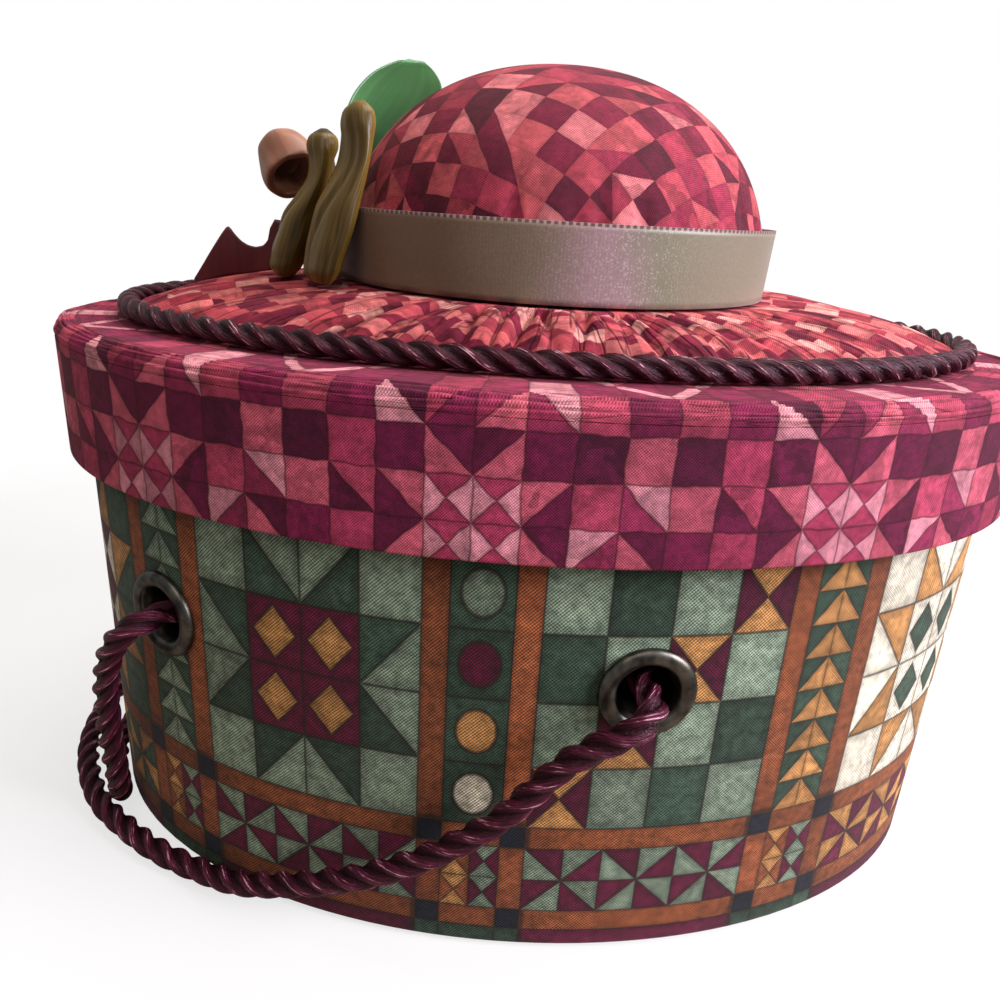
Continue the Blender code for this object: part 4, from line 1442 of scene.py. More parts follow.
@dataclass(frozen=True)
class Handle:
    """The rope handle and the knots that stop its ends inside the wall."""

    cord: TwistedCord = TwistedCord(diameter=0.0074, pitch=0.0245)
    step: float = 0.0010
    knot_length: float = 0.0150
    knot_radius: float = 0.00925
    # The knot's rise, and its share of the radius there, with the rope's end above 1.
    knot_rises: tuple[float, ...] = (
        0.0, 0.05, 0.12, 0.22, 0.34, 0.46, 0.58, 0.70, 0.82, 0.92, 1.0, 1.06, 1.2, 1.3, 1.4
    )  # fmt: skip
    knot_shares: tuple[float, ...] = (
        0.38, 0.62, 0.86, 0.98, 1.0, 0.93, 0.92, 0.99, 0.95, 0.74, 0.5, 0.4, 0.4, 0.4, 0.38
    )  # fmt: skip

    def route(self) -> list[Vector]:
        """Even places along the smooth spans between the chosen points."""
        marks = [Vector(point) for point in HANDLE_ROUTE]
        slopes = [(after - before) / 2 for before, after in zip(marks, marks[2:])]
        slopes = [marks[1] - marks[0], *slopes, marks[-1] - marks[-2]]
        fine = [marks[0]]
        for start, end, lead, trail in zip(marks, marks[1:], slopes, slopes[1:]):
            fine.extend(interpolate_bezier(start, start + lead / 3, end - trail / 3, end, 25)[1:])
        line = np.array([tuple(point) for point in fine])
        along = np.concatenate([[0.0], np.cumsum(np.linalg.norm(np.diff(line, axis=0), axis=1))])
        wanted = np.linspace(0.0, along[-1], round(along[-1] / self.step) + 1)
        return [Vector([float(np.interp(mark, along, line[:, axis])) for axis in range(3)]) for mark in wanted]

    def build(self, look: Look) -> None:
        """Lay the rope and tie its knots."""
        points = self.route()
        tube = self.cord.mesh(points, carried_frames(points), closed=False)
        rope = make_piece("rope", tube, look, Body.BASKET, "handle_rope")
        knots = [
            self.knot("rope_knot_right", "handle_knot_right", points[0], points[3], look),
            self.knot("rope_knot_left", "handle_knot_left", points[-1], points[-4], look),
        ]

    def knot(self, name: str, node: str, end: Vector, inner: Vector, look: Look) -> Piece:
        """Tie one overhand knot behind the clinched eyelet.

        Args:
            name: the piece's name.
            node: the frame's node that it stands for.
            end: the rope's end.
            inner: a place on the rope, to give its direction.
            look: the cord's finish.

        Returns:
            The knot.
        """
        backward = (end - inner).normalized()
        place = Matrix.Translation(end + backward * GLUE_LINE) @ aimed(backward)

        def shape(around: float, along: float) -> Vector:
            """The wrapped cord's surface."""
            rise, angle = along / self.knot_length, around / self.knot_radius
            wrap = abs(math.sin(1.5 * angle + 5.0 * rise)) ** 0.6
            share = smooth_steps(self.knot_shares, self.knot_rises, rise)
            reach = self.knot_radius * share * (0.86 + 0.14 * wrap)
            return place @ Vector((reach * math.cos(angle), reach * math.sin(angle), along))

        knot = close_ends(cloth_grid(even(TURN * self.knot_radius, 48), even(self.knot_length * 1.4, 40), shape))
        # The knot takes the cord's painted light and shade at one even level, 0.8.
        groove = knot.verts.layers.float.new("groove")
        for corner in knot.verts:
            corner[groove] = 0.8
        return make_piece(name, knot, look, Body.BASKET, node)


@dataclass(frozen=True)
class Band:
    """One row or column of the quilt sampler on the box's cover."""

    start: float
    end: float
    kind: str
    number: int
    cells: int

    def cuts(self) -> list[float]:
        """Where its patches start."""
        return [self.start + (self.end - self.start) * cell / self.cells for cell in range(self.cells)]


@dataclass(frozen=True)
class QuiltPlan:
    """The sampler's layout: blocks between sashes, with narrow columns of geese."""

    girth: float
    periods: int = 8
    sash: float = 0.00676
    narrow: float = 0.0161
    row_heights: tuple[tuple[float, str, int], ...] = (
        (0.007, "strip", 1),
        (0.014, "sash", 1),
        (0.036, "small", 2),
        (0.043, "sash", 1),
        (0.122, "tall", 8),
        (0.128, "sash", 1),
        (1.0, "strip", 1),
    )

    def columns(self) -> list[Band]:
        """Bands round the box."""
        block = self.girth / self.periods - 2 * self.sash - self.narrow
        parts = ((block, "block", 12), (self.sash, "sash", 1), (self.narrow, "narrow", 2), (self.sash, "sash", 1))
        bands: list[Band] = []
        start = 0.0
        for period in range(self.periods):
            for width, kind, cells in parts:
                bands.append(Band(start, start + width, kind, period, cells))
                start += width
        return bands

    def rows(self, wall_start: float, total: float) -> list[Band]:
        """Bands up the cloth.

        Args:
            wall_start: the cloth's distance where the height is nought.
            total: the cloth's whole run.

        Returns:
            The bands.
        """
        bands: list[Band] = []
        start = 0.0
        for number, (top, kind, cells) in enumerate(self.row_heights):
            bands.append(Band(start, min(total, wall_start + top), kind, number, cells))
            start = bands[-1].end
        return bands

    def block(self, column: Band, row: Band) -> Block:
        """Choose the patches where a column and a row cross."""
        kinds = {row.kind, column.kind}
        if row.kind == "strip":
            return [[plain(4 if column.kind == "block" else 2)]]
        if "sash" in kinds:
            return [[plain(3 if kinds == {"sash"} else 7 if row.kind == "sash" else 6)]]
        if kinds == {"small", "narrow"}:
            return [[Patch(Cut.QUARTERED, 6, 5), Patch(Cut.QUARTERED, 4, 1)]] * 2
        if row.kind == "small":
            unit_block = pinwheel_block(*((1, 4), (4, 5), (5, 2), (4, 1))[column.number % 4])
            return [[unit_block[line][place % 2] for place in range(6)] for line in range(2)]
        if column.kind == "narrow" and column.number == 3:
            return [[Patch(Cut.DOT, tone, 2)] for tone in (0, 5, 4, 1)]
        if column.kind == "narrow":
            tones = ((5, 2), (0, 4), (1, 2), (5, 4))[column.number % 4]
            return [[RISE(*tones), FALL(*tones)]] * 8
        return (
            star_block(1, 4, Patch(Cut.DIAMOND, 5, 4)),
            pinwheel_block(5, 2),
            star_block(2, 5, Patch(Cut.QUARTERED, 0, 4)),
            star_block(1, 2, Patch(Cut.DIAMOND, 5, 4)),
            check_block(2, 1, Patch(Cut.QUARTERED, 4, 5)),
            star_block(0, 5, Patch(Cut.DIAMOND, 2, 0)),
            pinwheel_block(1, 6),
            star_block(2, 1, Patch(Cut.QUARTERED, 5, 0)),
        )[column.number]

    def paint(self, cloth: Mesh, rows: list[Band]) -> None:
        """Give every face its patch, and every corner its place in the patch.

        Args:
            cloth: the cover.
            rows: the bands up the cloth.
        """
        laid = cloth.loops.layers.uv[CLOTH]
        local = cloth.loops.layers.uv.new("patch")
        code = cloth.faces.layers.float_vector.new("patch_code")
        number = cloth.faces.layers.float.new("patch_number")
        columns = self.columns()
        for face in cloth.faces:
            middle = [sum(loop[laid].uv[axis] for loop in face.loops) / len(face.loops) for axis in (0, 1)]
            column = next(band for band in columns if middle[0] < band.end or band is columns[-1])
            row = next(band for band in rows if middle[1] < band.end or band is rows[-1])
            block = self.block(column, row)
            width, height = column.end - column.start, row.end - row.start
            across = min(len(block[0]) - 1, int((middle[0] - column.start) / width * len(block[0])))
            up = min(len(block) - 1, int((middle[1] - row.start) / height * len(block)))
            face[code] = Vector(block[up][across].code)
            face[number] = 97.0 * column.number + 31.0 * up + 7.0 * across + 13.0 * row.number + column.start
            for loop in face.loops:
                u, v = loop[laid].uv
                loop[local].uv = (
                    (u - column.start) / width * len(block[0]) - across,
                    (v - row.start) / height * len(block) - up,
                )


@dataclass(frozen=True)
class BoxCovers:
    """The printed cover, the base cover and the padded satin inside."""

    base_hem: float = 0.0120
    rim_hem: float = 0.0160
    corner: float = 0.0010
    roll: float = 0.0012
    # The base pad's height, and how far out it has it: sewn down in the middle and soft at the edge.
    pad_rises: tuple[float, ...] = (0.0, 0.35, 0.8, 1.0, 0.96, 0.9, 0.95, 1.0, 0.98, 0.9, 0.72, 0.45)
    pad_places: tuple[float, ...] = (0.0, 0.02, 0.05, 0.10, 0.2, 0.3, 0.45, 0.6, 0.75, 0.86, 0.94, 1.0)

    def build(self, cotton: Look, satin: Look) -> None:
        """Lay the cloth over the boards."""
        self.outer(cotton)
        self.under(cotton)
        self.lining(satin)
        self.base_pad(satin)

    def outer(self, look: Look) -> None:
        """The cover from its hem under the base, up the wall and over the rim."""
        bottom, rim = heights("outer_cover")
        low = bottom + HALF_CLOTH
        face, back, top = FACE + HALF_CLOTH, HEM_FRONT + HALF_CLOTH, rim - HALF_CLOTH
        lip = self.corner - GLUE_LINE
        section = Section(
            (
                (FACE + self.base_hem, low),
                *arc(face + self.corner, low + self.corner, self.corner, -90.0, 0.0),
                *arc(face + lip, top - lip, lip, 0.0, 90.0),
                *arc(back - lip, top - lip, lip, 90.0, 180.0),
                (back, rim - self.rim_hem),
            )
        )
        wall_start = float(section.distances[ARC_STEPS + 1]) - low - self.corner
        plan = QuiltPlan(BOX.girth)
        rows = plan.rows(wall_start, float(section.distances[-1]))
        across = [0.0]
        for band in plan.columns():
            across.extend([*band.cuts()[1:], band.end])
        across[-1] = BOX.girth
        wanted = set(np.round(section.marks(0.02), 7)) | {round(cut, 7) for band in rows for cut in band.cuts()}
        along = [0.0]
        along.extend(mark for mark in sorted(wanted) if mark - along[-1] > 0.00008)
        cloth = ring_cloth(BOX, section, across, along)
        plan.paint(cloth, rows)
        cover = make_piece("box_cover", cloth, look, Body.BASKET, "outer_cover")
        finish_sheet(cover, FABRIC, sharp=50.0, punched=True)

    def under(self, look: Look) -> None:
        """The oval of cloth glued under the base, all of it one dark colour."""
        edge = inset("base_cover")
        cloth = flat_oval(Oval(LID.half_length - edge, LID.half_width - edge), HALF_CLOTH, 8)
        local = cloth.loops.layers.uv.new("patch")
        code = cloth.faces.layers.float_vector.new("patch_code")
        for face in cloth.faces:
            face[code] = Vector(plain(7).code)
            for loop in face.loops:
                loop[local].uv = (0.5, 0.5)
        cover = make_piece("base_underside", cloth, look, Body.BASKET, "base_cover")
        finish_sheet(cover, FABRIC - 0.00005, sharp=50.0)

    def lining(self, look: Look) -> None:
        """The padded lining, whose top edge is the tray's ledge."""
        low, high = heights("wall_lining")
        front, back = inset("wall_lining"), LINING_BACK - self.roll
        section = Section(
            (
                (front, low),
                (front, high),
                *arc(back, high - self.roll, self.roll, 90.0, 180.0),
                *arc(back, low + self.roll, self.roll, 180.0, 270.0),
                (front, low),
            )
        )
        cloth = ring_cloth(BOX, section, even(BOX.girth, 240), section.marks(0.008))
        lining = make_piece("wall_padding", cloth, look, Body.BASKET, "wall_lining")
        punch_eyelet_holes(lining)
        sharpen(lining, 40.0)

    def base_pad(self, look: Look) -> None:
        """The padded satin on the floor of the box, sewn down in the middle."""
        low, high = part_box("base_lining")
        ring = Oval(high.x, high.y)
        reach = ring.half_width

        def shape(around: float, run: float) -> Vector:
            """The pad's underside and then its top, from middle to edge and back."""
            under = run <= reach
            share = run / reach if under else (2 * reach - run) / reach
            lift = 0.0 if under else smooth_steps(self.pad_rises, self.pad_places, share)
            return ring.within(ring.turn(around), share, low.z + (high.z - low.z) * lift)

        pad = lay_flat(cloth_grid(even(ring.girth, 120), even(2 * reach, 48), shape))
        make_piece("base_padding", pad, look, Body.BASKET, "base_lining")


@dataclass(frozen=True)
class LidCovers:
    """The lid's patchwork cloth and its linings."""

    edge: float = 0.0037
    hem: float = 0.0100
    card: float = 0.0022
    lip: float = 0.0006
    folds: int = 210
    seam: float = 0.0001

    def build(self, band_cotton: Look, edge_cotton: Look, satin: Look) -> None:
        """Lay the cloth over the lid's boards."""
        self.band(band_cotton)
        self.top(edge_cotton)
        self.linings(satin)

    @cached_property
    def skirt(self) -> Section:
        """The band's outline, from the hem inside to its upper edge."""
        back = FABRIC + GLUE_LINE + self.card + GLUE_LINE + HALF_CLOTH
        low, lip = LID_BOTTOM + HALF_CLOTH, self.lip
        return Section(
            (
                (back, LID_BOTTOM + self.hem),
                *arc(back - lip, low + lip, lip, 180.0, 270.0),
                *arc(HALF_CLOTH + lip, low + lip, lip, -90.0, 0.0),
                (HALF_CLOTH, BAND_TOP),
            )
        )

    def band(self, look: Look) -> None:
        """The band round the skirt, turned under its lower edge."""
        cloth = ring_cloth(LID, self.skirt, even(LID.girth, 288), self.skirt.marks(0.004))
        band = make_piece("lid_band", cloth, look, Body.LID, "lid_band_cover")
        finish_sheet(band, FABRIC, sharp=50.0)

    def top(self, look: Look) -> None:
        """The top cover, pulled over the edge in fine folds that run along the rim."""
        rng = np.random.default_rng(11)
        rise, flat, radius = BAND_TOP + self.seam, LID_TOP - HALF_CLOTH, self.edge - HALF_CLOTH
        rim = arc(HALF_CLOTH + radius, flat - radius, radius, 0.0, 90.0, 8)
        section = Section(((HALF_CLOTH, rise), *rim, (0.0300, flat)))
        starts = rng.uniform(0.0, LID.girth, self.folds)
        lengths = rng.uniform(0.012, 0.055, self.folds)
        middles = rng.uniform(0.0016, 0.0078, self.folds)
        drifts = rng.uniform(-0.05, 0.05, self.folds)
        depths = rng.uniform(0.00015, 0.00055, self.folds)
        turns: dict[float, float] = {}

        def shape(around: float, along: float) -> Vector:
            """The cover's surface, each fold a ridge beside a crease."""
            turn = turns.setdefault(around, LID.turn(around))
            offset = nearest_way(around - starts, LID.girth)
            reach = np.clip(1.0 - np.abs(offset) / lengths, 0.0, 1.0)
            across = (along - middles - drifts * offset) / 0.00045
            ridge = 1.6 * across * np.exp(-(across**2))
            dent = float(np.clip(np.sum(depths * np.sqrt(reach) * ridge), -0.0006, 0.00035))
            dent *= min(1.0, along / 0.0012) * unit((0.012 - along) / 0.002)
            depth, height = section.at(along)
            facing = unit((height - rise) / radius)
            return LID.place(turn, height - dent * facing, depth + dent * (1.0 - 0.8 * facing))

        along = [*even(0.0104, 46), 0.0125, 0.016, 0.022, float(section.distances[-1])]
        below = float(self.skirt.distances[-1])
        # The print runs on from the band, so the top's map starts where the band's ends.
        cloth = remap(cloth_grid(even(LID.girth, 640), along, shape), lambda _, on: (on.x, on.y + below))
        top = make_piece("lid_top", cloth, look, Body.LID, "lid_top_cover")
        finish_sheet(top, FABRIC * 0.7)

    def linings(self, look: Look) -> None:
        """The satin inside the lid's skirt and top."""
        depth = inset("lid_skirt_lining") + 0.0003
        low, high = heights("lid_skirt_lining")
        section = Section(((depth, low + 0.0002), (depth, high)))
        cloth = ring_cloth(LID, section, even(LID.girth, 240), section.marks(0.008))
        skirt = make_piece("lid_skirt_satin", cloth, look, Body.LID, "lid_skirt_lining")
        finish_sheet(skirt, SATIN_CLOTH)
        low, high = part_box("lid_top_lining")
        cloth = flat_oval(Oval(high.x, high.y), (low.z + high.z) / 2, 12)
        top = make_piece("lid_top_satin", cloth, look, Body.LID, "lid_top_lining")
        finish_sheet(top, SATIN_CLOTH)


@dataclass(frozen=True)
class Hat:
    """The hat on the lid: gathered brim, twisted cord, stuffed crown and ribbon."""

    cord: TwistedCord = TwistedCord(diameter=0.0065, pitch=0.0228, left_handed=True)
    line: Oval = Oval(0.1295, 0.0760)
    edge_height: float = 0.0036
    gathers: int = 96
    fullness: float = 0.90
    wall: float = 0.0075
    puckers: int = 46

    def build(self, looks: Mapping[str, Look]) -> None:
        """Make the four pieces of the hat."""
        self.brim(looks["brim"])
        self.brim_cord(looks["cord"])
        self.crown(looks["crown"])
        self.ribbon(looks["ribbon"])

    def brim_cord(self, look: Look) -> None:
        """The thick twisted cord sewn round the brim."""
        steps = 760
        turns = [self.line.turn(self.line.girth * step / steps) for step in range(steps)]
        points = [self.line.place(turn, BRIM_BOTTOM + self.cord.diameter / 2) for turn in turns]
        frames = []
        for turn in turns:
            outward = Vector((math.cos(turn) / self.line.half_length, math.sin(turn) / self.line.half_width, 0.0))
            frames.append((outward.normalized(), Vector((0.0, 0.0, 1.0))))
        tube = self.cord.mesh([*points, points[0]], [*frames, frames[0]], closed=True)
        make_piece("brim_twist", tube, look, Body.LID, "brim_cord")

    def brim(self, look: Look) -> None:
        """The padded brim: a crowned pad drawn into radial gathers at the cord and under the ribbon."""
        rng = np.random.default_rng(5)
        trim = self.cord.diameter / 2
        edge = Oval(self.line.half_length - trim - GLUE_LINE, self.line.half_width - trim - GLUE_LINE)
        seat = TRIM_RADIUS - GLUE_LINE + 0.0009
        low, lift = BRIM_BOTTOM, BRIM_TOP - BRIM_BOTTOM - self.edge_height
        centres = scattered(rng, (0.5, 1.6), self.gathers, edge.girth)
        depths = rng.uniform(0.0010, 0.0034, self.gathers)
        widths = rng.uniform(0.0011, 0.0027, self.gathers)
        from_edge = rng.uniform(0.35, 1.1, self.gathers)
        from_crown = rng.uniform(0.6, 1.2, self.gathers)
        lean = rng.uniform(-0.010, 0.010, self.gathers)
        under, upright, over, cap = 0.030, self.edge_height, 0.050, 0.030
        turns: dict[float, float] = {}

        def shape(around: float, run: float) -> Vector:
            """The pad's surface: underside, edge, crowned top and the flat under the crown."""
            turn = turns.setdefault(around, edge.turn(around))
            side = edge.place(turn, 0.0)
            inner = Vector((seat * math.cos(turn), seat * math.sin(turn), 0.0))
            if run <= under:
                return side * (run / under) + Vector((0.0, 0.0, low))
            if run <= under + upright:
                return side + Vector((0.0, 0.0, low + self.edge_height * ((run - under) / upright)))
            if run >= under + upright + over:
                share = max(0.0, 1.0 - (run - under - upright - over) / cap)
                return inner * share + Vector((0.0, 0.0, BRIM_TOP - 0.0004))
            share = (run - under - upright) / over
            height = smooth_steps((0.0, 0.34, 0.64, 0.88, 1.0), (0.0, 0.18, 0.42, 0.70, 1.0), share)
            offset = nearest_way(around - centres - lean * share, edge.girth)
            groove = np.exp(-((offset / widths) ** 2))
            start = np.clip(1.0 - share / from_edge, 0.0, 1.0) * min(1.0, share / 0.06)
            finish = np.clip(1.0 - (1.0 - share) / from_crown, 0.0, 1.0) * min(1.0, (1.0 - share) / 0.05)
            dent = min(0.0034, float(np.sum(depths * groove * (1.0 * start + 1.1 * finish))))
            puff = 0.0007 * math.sin(math.pi * share) * math.sin(around * 97.0 + 3.0 * math.sin(around * 41.0))
            level = low + self.edge_height + lift * height - dent + puff
            return side.lerp(inner, share) + Vector((0.0, 0.0, level))

        along = runs((under, 5), (upright, 3), (over, 36), (cap, 4))
        pad = cloth_grid(even(edge.girth, 900), along, shape)
        make_piece("hat_brim", pad, look, Body.LID, "brim_pad", sharp=75.0)

    def crown(self, look: Look) -> None:
        """The stuffed crown, a pincushion: taut above and puckered where the ribbon draws it in."""
        rng = np.random.default_rng(3)
        height = CROWN_TOP - CROWN_BOTTOM
        radius = CROWN_RADIUS - 0.0003
        centres = scattered(rng, (0.4, 1.6), self.puckers, TURN)
        depths = rng.uniform(0.0003, 0.0015, self.puckers)
        widths = rng.uniform(0.020, 0.045, self.puckers)
        tops = rng.uniform(0.42, 0.68, self.puckers)
        base_run, wall_run, dome_run = 0.060, self.wall, 0.088
        dents = [(rng.normal(size=3), rng.uniform(0.0004, 0.0011)) for _ in range(14)]

        def shape(around: float, run: float) -> Vector:
            """The cushion's surface: underside, short wall and full dome."""
            angle = around / radius
            if run <= base_run:
                reach, rise = radius * run / base_run, 0.0
            elif run <= base_run + wall_run:
                reach, rise = radius, self.wall * (run - base_run) / wall_run
            else:
                lift = math.pi / 2 * min(1.0, (run - base_run - wall_run) / dome_run)
                reach = radius * max(0.0, math.cos(lift)) ** self.fullness
                rise = self.wall + (height - self.wall) * math.sin(lift)
            out = Vector((math.cos(angle), math.sin(angle), 0.0))
            spot = out * reach + Vector((0.0, 0.0, CROWN_BOTTOM + rise))
            share = rise / height
            if share > 0.22 and reach > 0.0005:
                offset = nearest_way(angle - centres, TURN)
                pull = np.clip((tops - share) / (tops - 0.30), 0.0, 1.0) ** 1.4
                dent = float(np.sum(depths * np.exp(-((offset / widths) ** 2)) * pull))
                dent = min(dent, 0.0020) * min(1.0, (share - 0.22) / 0.1)
                normal = (out * (reach / radius) + Vector((0.0, 0.0, 0.9 * share))).normalized()
                soft = 0.0
                for direction, depth in dents:
                    soft += depth * max(0.0, Vector(direction).normalized().dot(normal)) ** 6
                spot -= normal * (dent + soft * min(1.0, (share - 0.22) / 0.15))
            return spot

        def from_above(_: bmesh.types.BMLoop, on: Vector) -> tuple[float, float]:
            """Lay the cloth over the dome from its top."""
            angle, reach = on.x / radius, base_run + wall_run + dome_run - on.y
            return reach * math.cos(angle), reach * math.sin(angle)

        along = runs((base_run, 4), (wall_run, 2), (dome_run, 56))
        dome = remap(cloth_grid(even(TURN * radius, 288), along, shape), from_above)
        make_piece("crown_pincushion", dome, look, Body.LID, "crown_cushion")

    def ribbon(self, look: Look) -> None:
        """The ribbon round the crown, a little slack, so it ripples."""
        low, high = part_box("hat_band")
        radius = high.x - 0.0004

        def shape(around: float, up: float) -> Vector:
            """The ribbon's middle, flared a little at its top."""
            share = up / RIBBON_WIDTH
            ripple = 0.00022 * math.sin(around * 160.0 + 2.0 * math.sin(around * 47.0)) * (0.4 + 0.6 * share)
            reach = radius - 0.0010 * (1.0 - share) - 0.00025 + ripple
            angle = around / radius
            return Vector((reach * math.cos(angle), reach * math.sin(angle), low.z + 0.0002 + up * 0.985))

        band = cloth_grid(even(TURN * radius, 480), even(RIBBON_WIDTH, 12), shape)
        piece = make_piece("hat_ribbon", band, look, Body.LID, "hat_band")
        finish_sheet(piece, SATIN_CLOTH)


def crown_place(degrees: float, reach: float, height: float) -> Matrix:
    """A frame beside the crown: X points away from it, Z up."""
    return Matrix.Rotation(math.radians(degrees), 4, "Z") @ Matrix.Translation((reach, 0.0, height))


@dataclass(frozen=True)
class RibbonLoop:
    """One upright loop of folded ribbon, by its stations of rise, lean, thickness and width shares."""

    name: str
    node: str
    angle: float
    reach: float
    height: float
    lean: float
    half: float
    drop: float = 0.0
    width: float = 0.0205
    folds: float = 5.0
    shares: tuple[tuple[float, float, float, float], ...] = (
        (0.00, -0.22, 0.50, 0.60),
        (0.04, -0.20, 0.84, 0.78),
        (0.14, -0.10, 1.02, 0.92),
        (0.30, 0.12, 1.12, 1.00),
        (0.44, 0.30, 1.04, 1.00),
        (0.56, 0.52, 0.78, 0.97),
        (0.68, 0.72, 0.60, 0.92),
        (0.80, 0.82, 0.70, 0.84),
        (0.90, 0.86, 0.88, 0.72),
        (0.96, 0.88, 0.70, 0.56),
        (1.00, 0.90, 0.22, 0.24),
    )

    def build(self, look: Look) -> None:
        """Make the loop with soft folds that run up it."""
        rises, *tables = zip(*self.shares)
        place = crown_place(self.angle, TRIM_RADIUS + self.reach, CROWN_BOTTOM - self.drop)
        girth = 2.4 * self.width

        def shape(around: float, up: float) -> Vector:
            """The loop's surface."""
            rise, turn = up / self.height, TURN * around / girth
            lean, thick, wide = (smooth_steps(values, rises, rise) for values in tables)
            fold = math.sin(self.folds * turn + 2.4 * math.sin(5.0 * rise + 1.0) + 1.5 * rise)
            crease = 1.0 - 0.26 * max(0.0, fold) ** 3 - 0.05 * (1.0 + math.sin(9.0 * turn - 4.0 * rise)) / 2
            out = self.half * thick * crease * math.cos(turn)
            side = self.width / 2 * wide * (1.0 - 0.04 * (1.0 + fold) / 2) * math.sin(turn)
            return place @ Vector((out - self.lean * lean, side, self.height * rise))

        loop = close_ends(cloth_grid(even(girth, 72), even(self.height, 48), shape))
        make_piece(self.name, loop, look, Body.LID, self.node, sharp=70.0)


@dataclass(frozen=True)
class Bow:
    """The trimmings at the left of the crown."""

    knot_angle: float = 183.5
    knot_thickness: float = 0.0030
    knot_width: float = 0.0140
    loops: tuple[RibbonLoop, ...] = (
        RibbonLoop("loop_inner", "bow_loop_inner", 212.5, 0.0063, 0.0450, 0.0102, 0.0043),
        RibbonLoop("loop_outer", "bow_loop_outer", 196.5, 0.0119, 0.0392, 0.0105, 0.0050, 0.0003, folds=4.0),
    )
    # The leaf's rise, its left and right edge in degrees round the crown, and its reach at each edge.
    leaf_rows: tuple[tuple[float, float, float, float, float], ...] = (
        (0.18, 176.0, 172.0, 1.000, 1.000),
        (0.36, 177.0, 163.0, 1.000, 1.000),
        (0.56, 179.0, 154.0, 0.985, 0.950),
        (0.72, 180.0, 147.0, 0.950, 0.853),
        (0.86, 180.0, 140.0, 0.905, 0.742),
        (0.95, 177.0, 142.0, 0.840, 0.690),
        (1.035, 167.0, 155.0, 0.733, 0.690),
    )
    leaf_width: float = 0.030
    # The rosette's reach and rise along its section, up the outside and down into the hollow.
    cup_reaches: tuple[float, ...] = (0.04, 0.62, 0.80, 0.93, 1.0, 0.99, 0.95, 0.86, 0.72, 0.64, 0.62, 0.58, 0.03)
    cup_rises: tuple[float, ...] = (0.0, 0.0, 0.05, 0.15, 0.42, 0.75, 0.95, 1.0, 0.96, 0.78, 0.5, 0.3, 0.26)
    # The tail's swallow-tailed top edge: how far out, and how high.
    tail_outs: tuple[float, ...] = (
        -0.06, 0.03, 0.09, 0.12, 0.18, 0.26, 0.34, 0.42, 0.49, 0.54, 0.57, 0.64, 0.80, 1.0
    )  # fmt: skip
    tail_tops: tuple[float, ...] = (
        1.20, 1.22, 0.98, 0.66, 0.54, 0.50, 0.53, 0.63, 0.79, 0.95, 1.00, 0.80, 0.28, -0.40
    )  # fmt: skip

    def build(self, looks: Mapping[str, Look]) -> None:
        """Make the knot, the loops, the leaf, the rosette and the tail."""
        self.knot(looks["knot"])
        for loop in self.loops:
            loop.build(looks[loop.name])
        self.leaf(looks["leaf"])
        self.rosette(looks["rosette"])
        self.tail(looks["tail"])

    def knot(self, look: Look) -> None:
        """The flat wrap that the rosette is sewn to."""
        low, high = heights("bow_knot")
        half, height, width = self.knot_thickness / 2, high - low, self.knot_width
        place = crown_place(self.knot_angle, TRIM_RADIUS + half, CROWN_BOTTOM)

        def shape(around: float, up: float) -> Vector:
            """The wrap's surface, pleated up its length."""
            turn = TURN * around / (2 * width)
            full = smooth_steps((0.60, 1.0, 1.0, 0.60), (0.0, 0.12, 0.88, 1.0), up / height)
            pleat = 1.0 - 0.12 * (1.0 + math.sin(9.0 * turn)) / 2
            side = width / 2 * (0.1 + 0.9 * full) * math.sin(turn)
            return place @ Vector((half * full * pleat * math.cos(turn), side, up))

        wrap = close_ends(cloth_grid(even(2 * width, 60), even(height, 20), shape))
        make_piece("bow_wrap", wrap, look, Body.LID, "bow_knot")

    def leaf(self, look: Look) -> None:
        """The broad satin loop that curls up behind the crown's left shoulder, in two layers."""
        rises, *tables = zip(*self.leaf_rows)
        height, width = CROWN_TOP - CROWN_BOTTOM, self.leaf_width
        round_from, peak = 0.70, 1.035
        crest = peak - 0.008 * (peak - round_from)
        run = (crest - rises[0]) * height * 1.25

        def layer(lift: float, start: float, across: float, up: float) -> Vector:
            """A layer's surface, round at its top.

            Args:
                lift: how far it is lifted off the first layer.
                start: the share of the width where it starts.
                across: place across the cloth.
                up: place up the cloth.

            Returns:
                The place.
            """
            rise = rises[0] + (crest - rises[0]) * up / run
            share = start + (1.0 - start) * across / width
            left, right, first, last = (smooth_steps(values, rises, min(rise, rises[-1])) for values in tables)
            middle, half = (left + right) / 2, (left - right) / 2
            if rise > round_from:
                bend = (rise - round_from) / (peak - round_from)
                middle, half = middle + (160.0 - middle) * bend, 20.5 * (1.0 - bend**2.3) ** 0.48
            angle = math.radians(middle + half * (1.0 - 2.0 * share))
            swell = 0.0006 * math.sin(math.pi * share) * math.sin(5.0 * rise)
            reach = TRIM_RADIUS * (first + (last - first) * share) + lift + swell
            return Vector((reach * math.cos(angle), reach * math.sin(angle), CROWN_BOTTOM + height * rise))

        for name, lift, start, nodes in (("leaf_back", 0.0003, 0.0, ["bow_leaf"]), ("leaf_front", 0.0015, 0.42, [])):
            cloth = cloth_grid(even(width, 32), even(run, 56), partial(layer, lift, start))
            finish_sheet(make_piece(name, cloth, look, Body.LID, *nodes), SATIN_CLOTH)

    def rosette(self, look: Look) -> None:
        """The rolled rosette: a flared outer wrap round a hollow, with an inner roll."""
        radius, length = 0.0092, 0.0130
        seat = crown_place(0.0, 0.0, CROWN_BOTTOM + 0.0300) @ aimed((0.50, -0.66, -0.56))
        seat = seat @ Matrix.Translation((0.0, 0.0, -length / 2))
        outward = Vector((math.cos(math.radians(self.knot_angle)), math.sin(math.radians(self.knot_angle)), 0.0))
        marks = even(2.6 * length, len(self.cup_reaches) - 1)

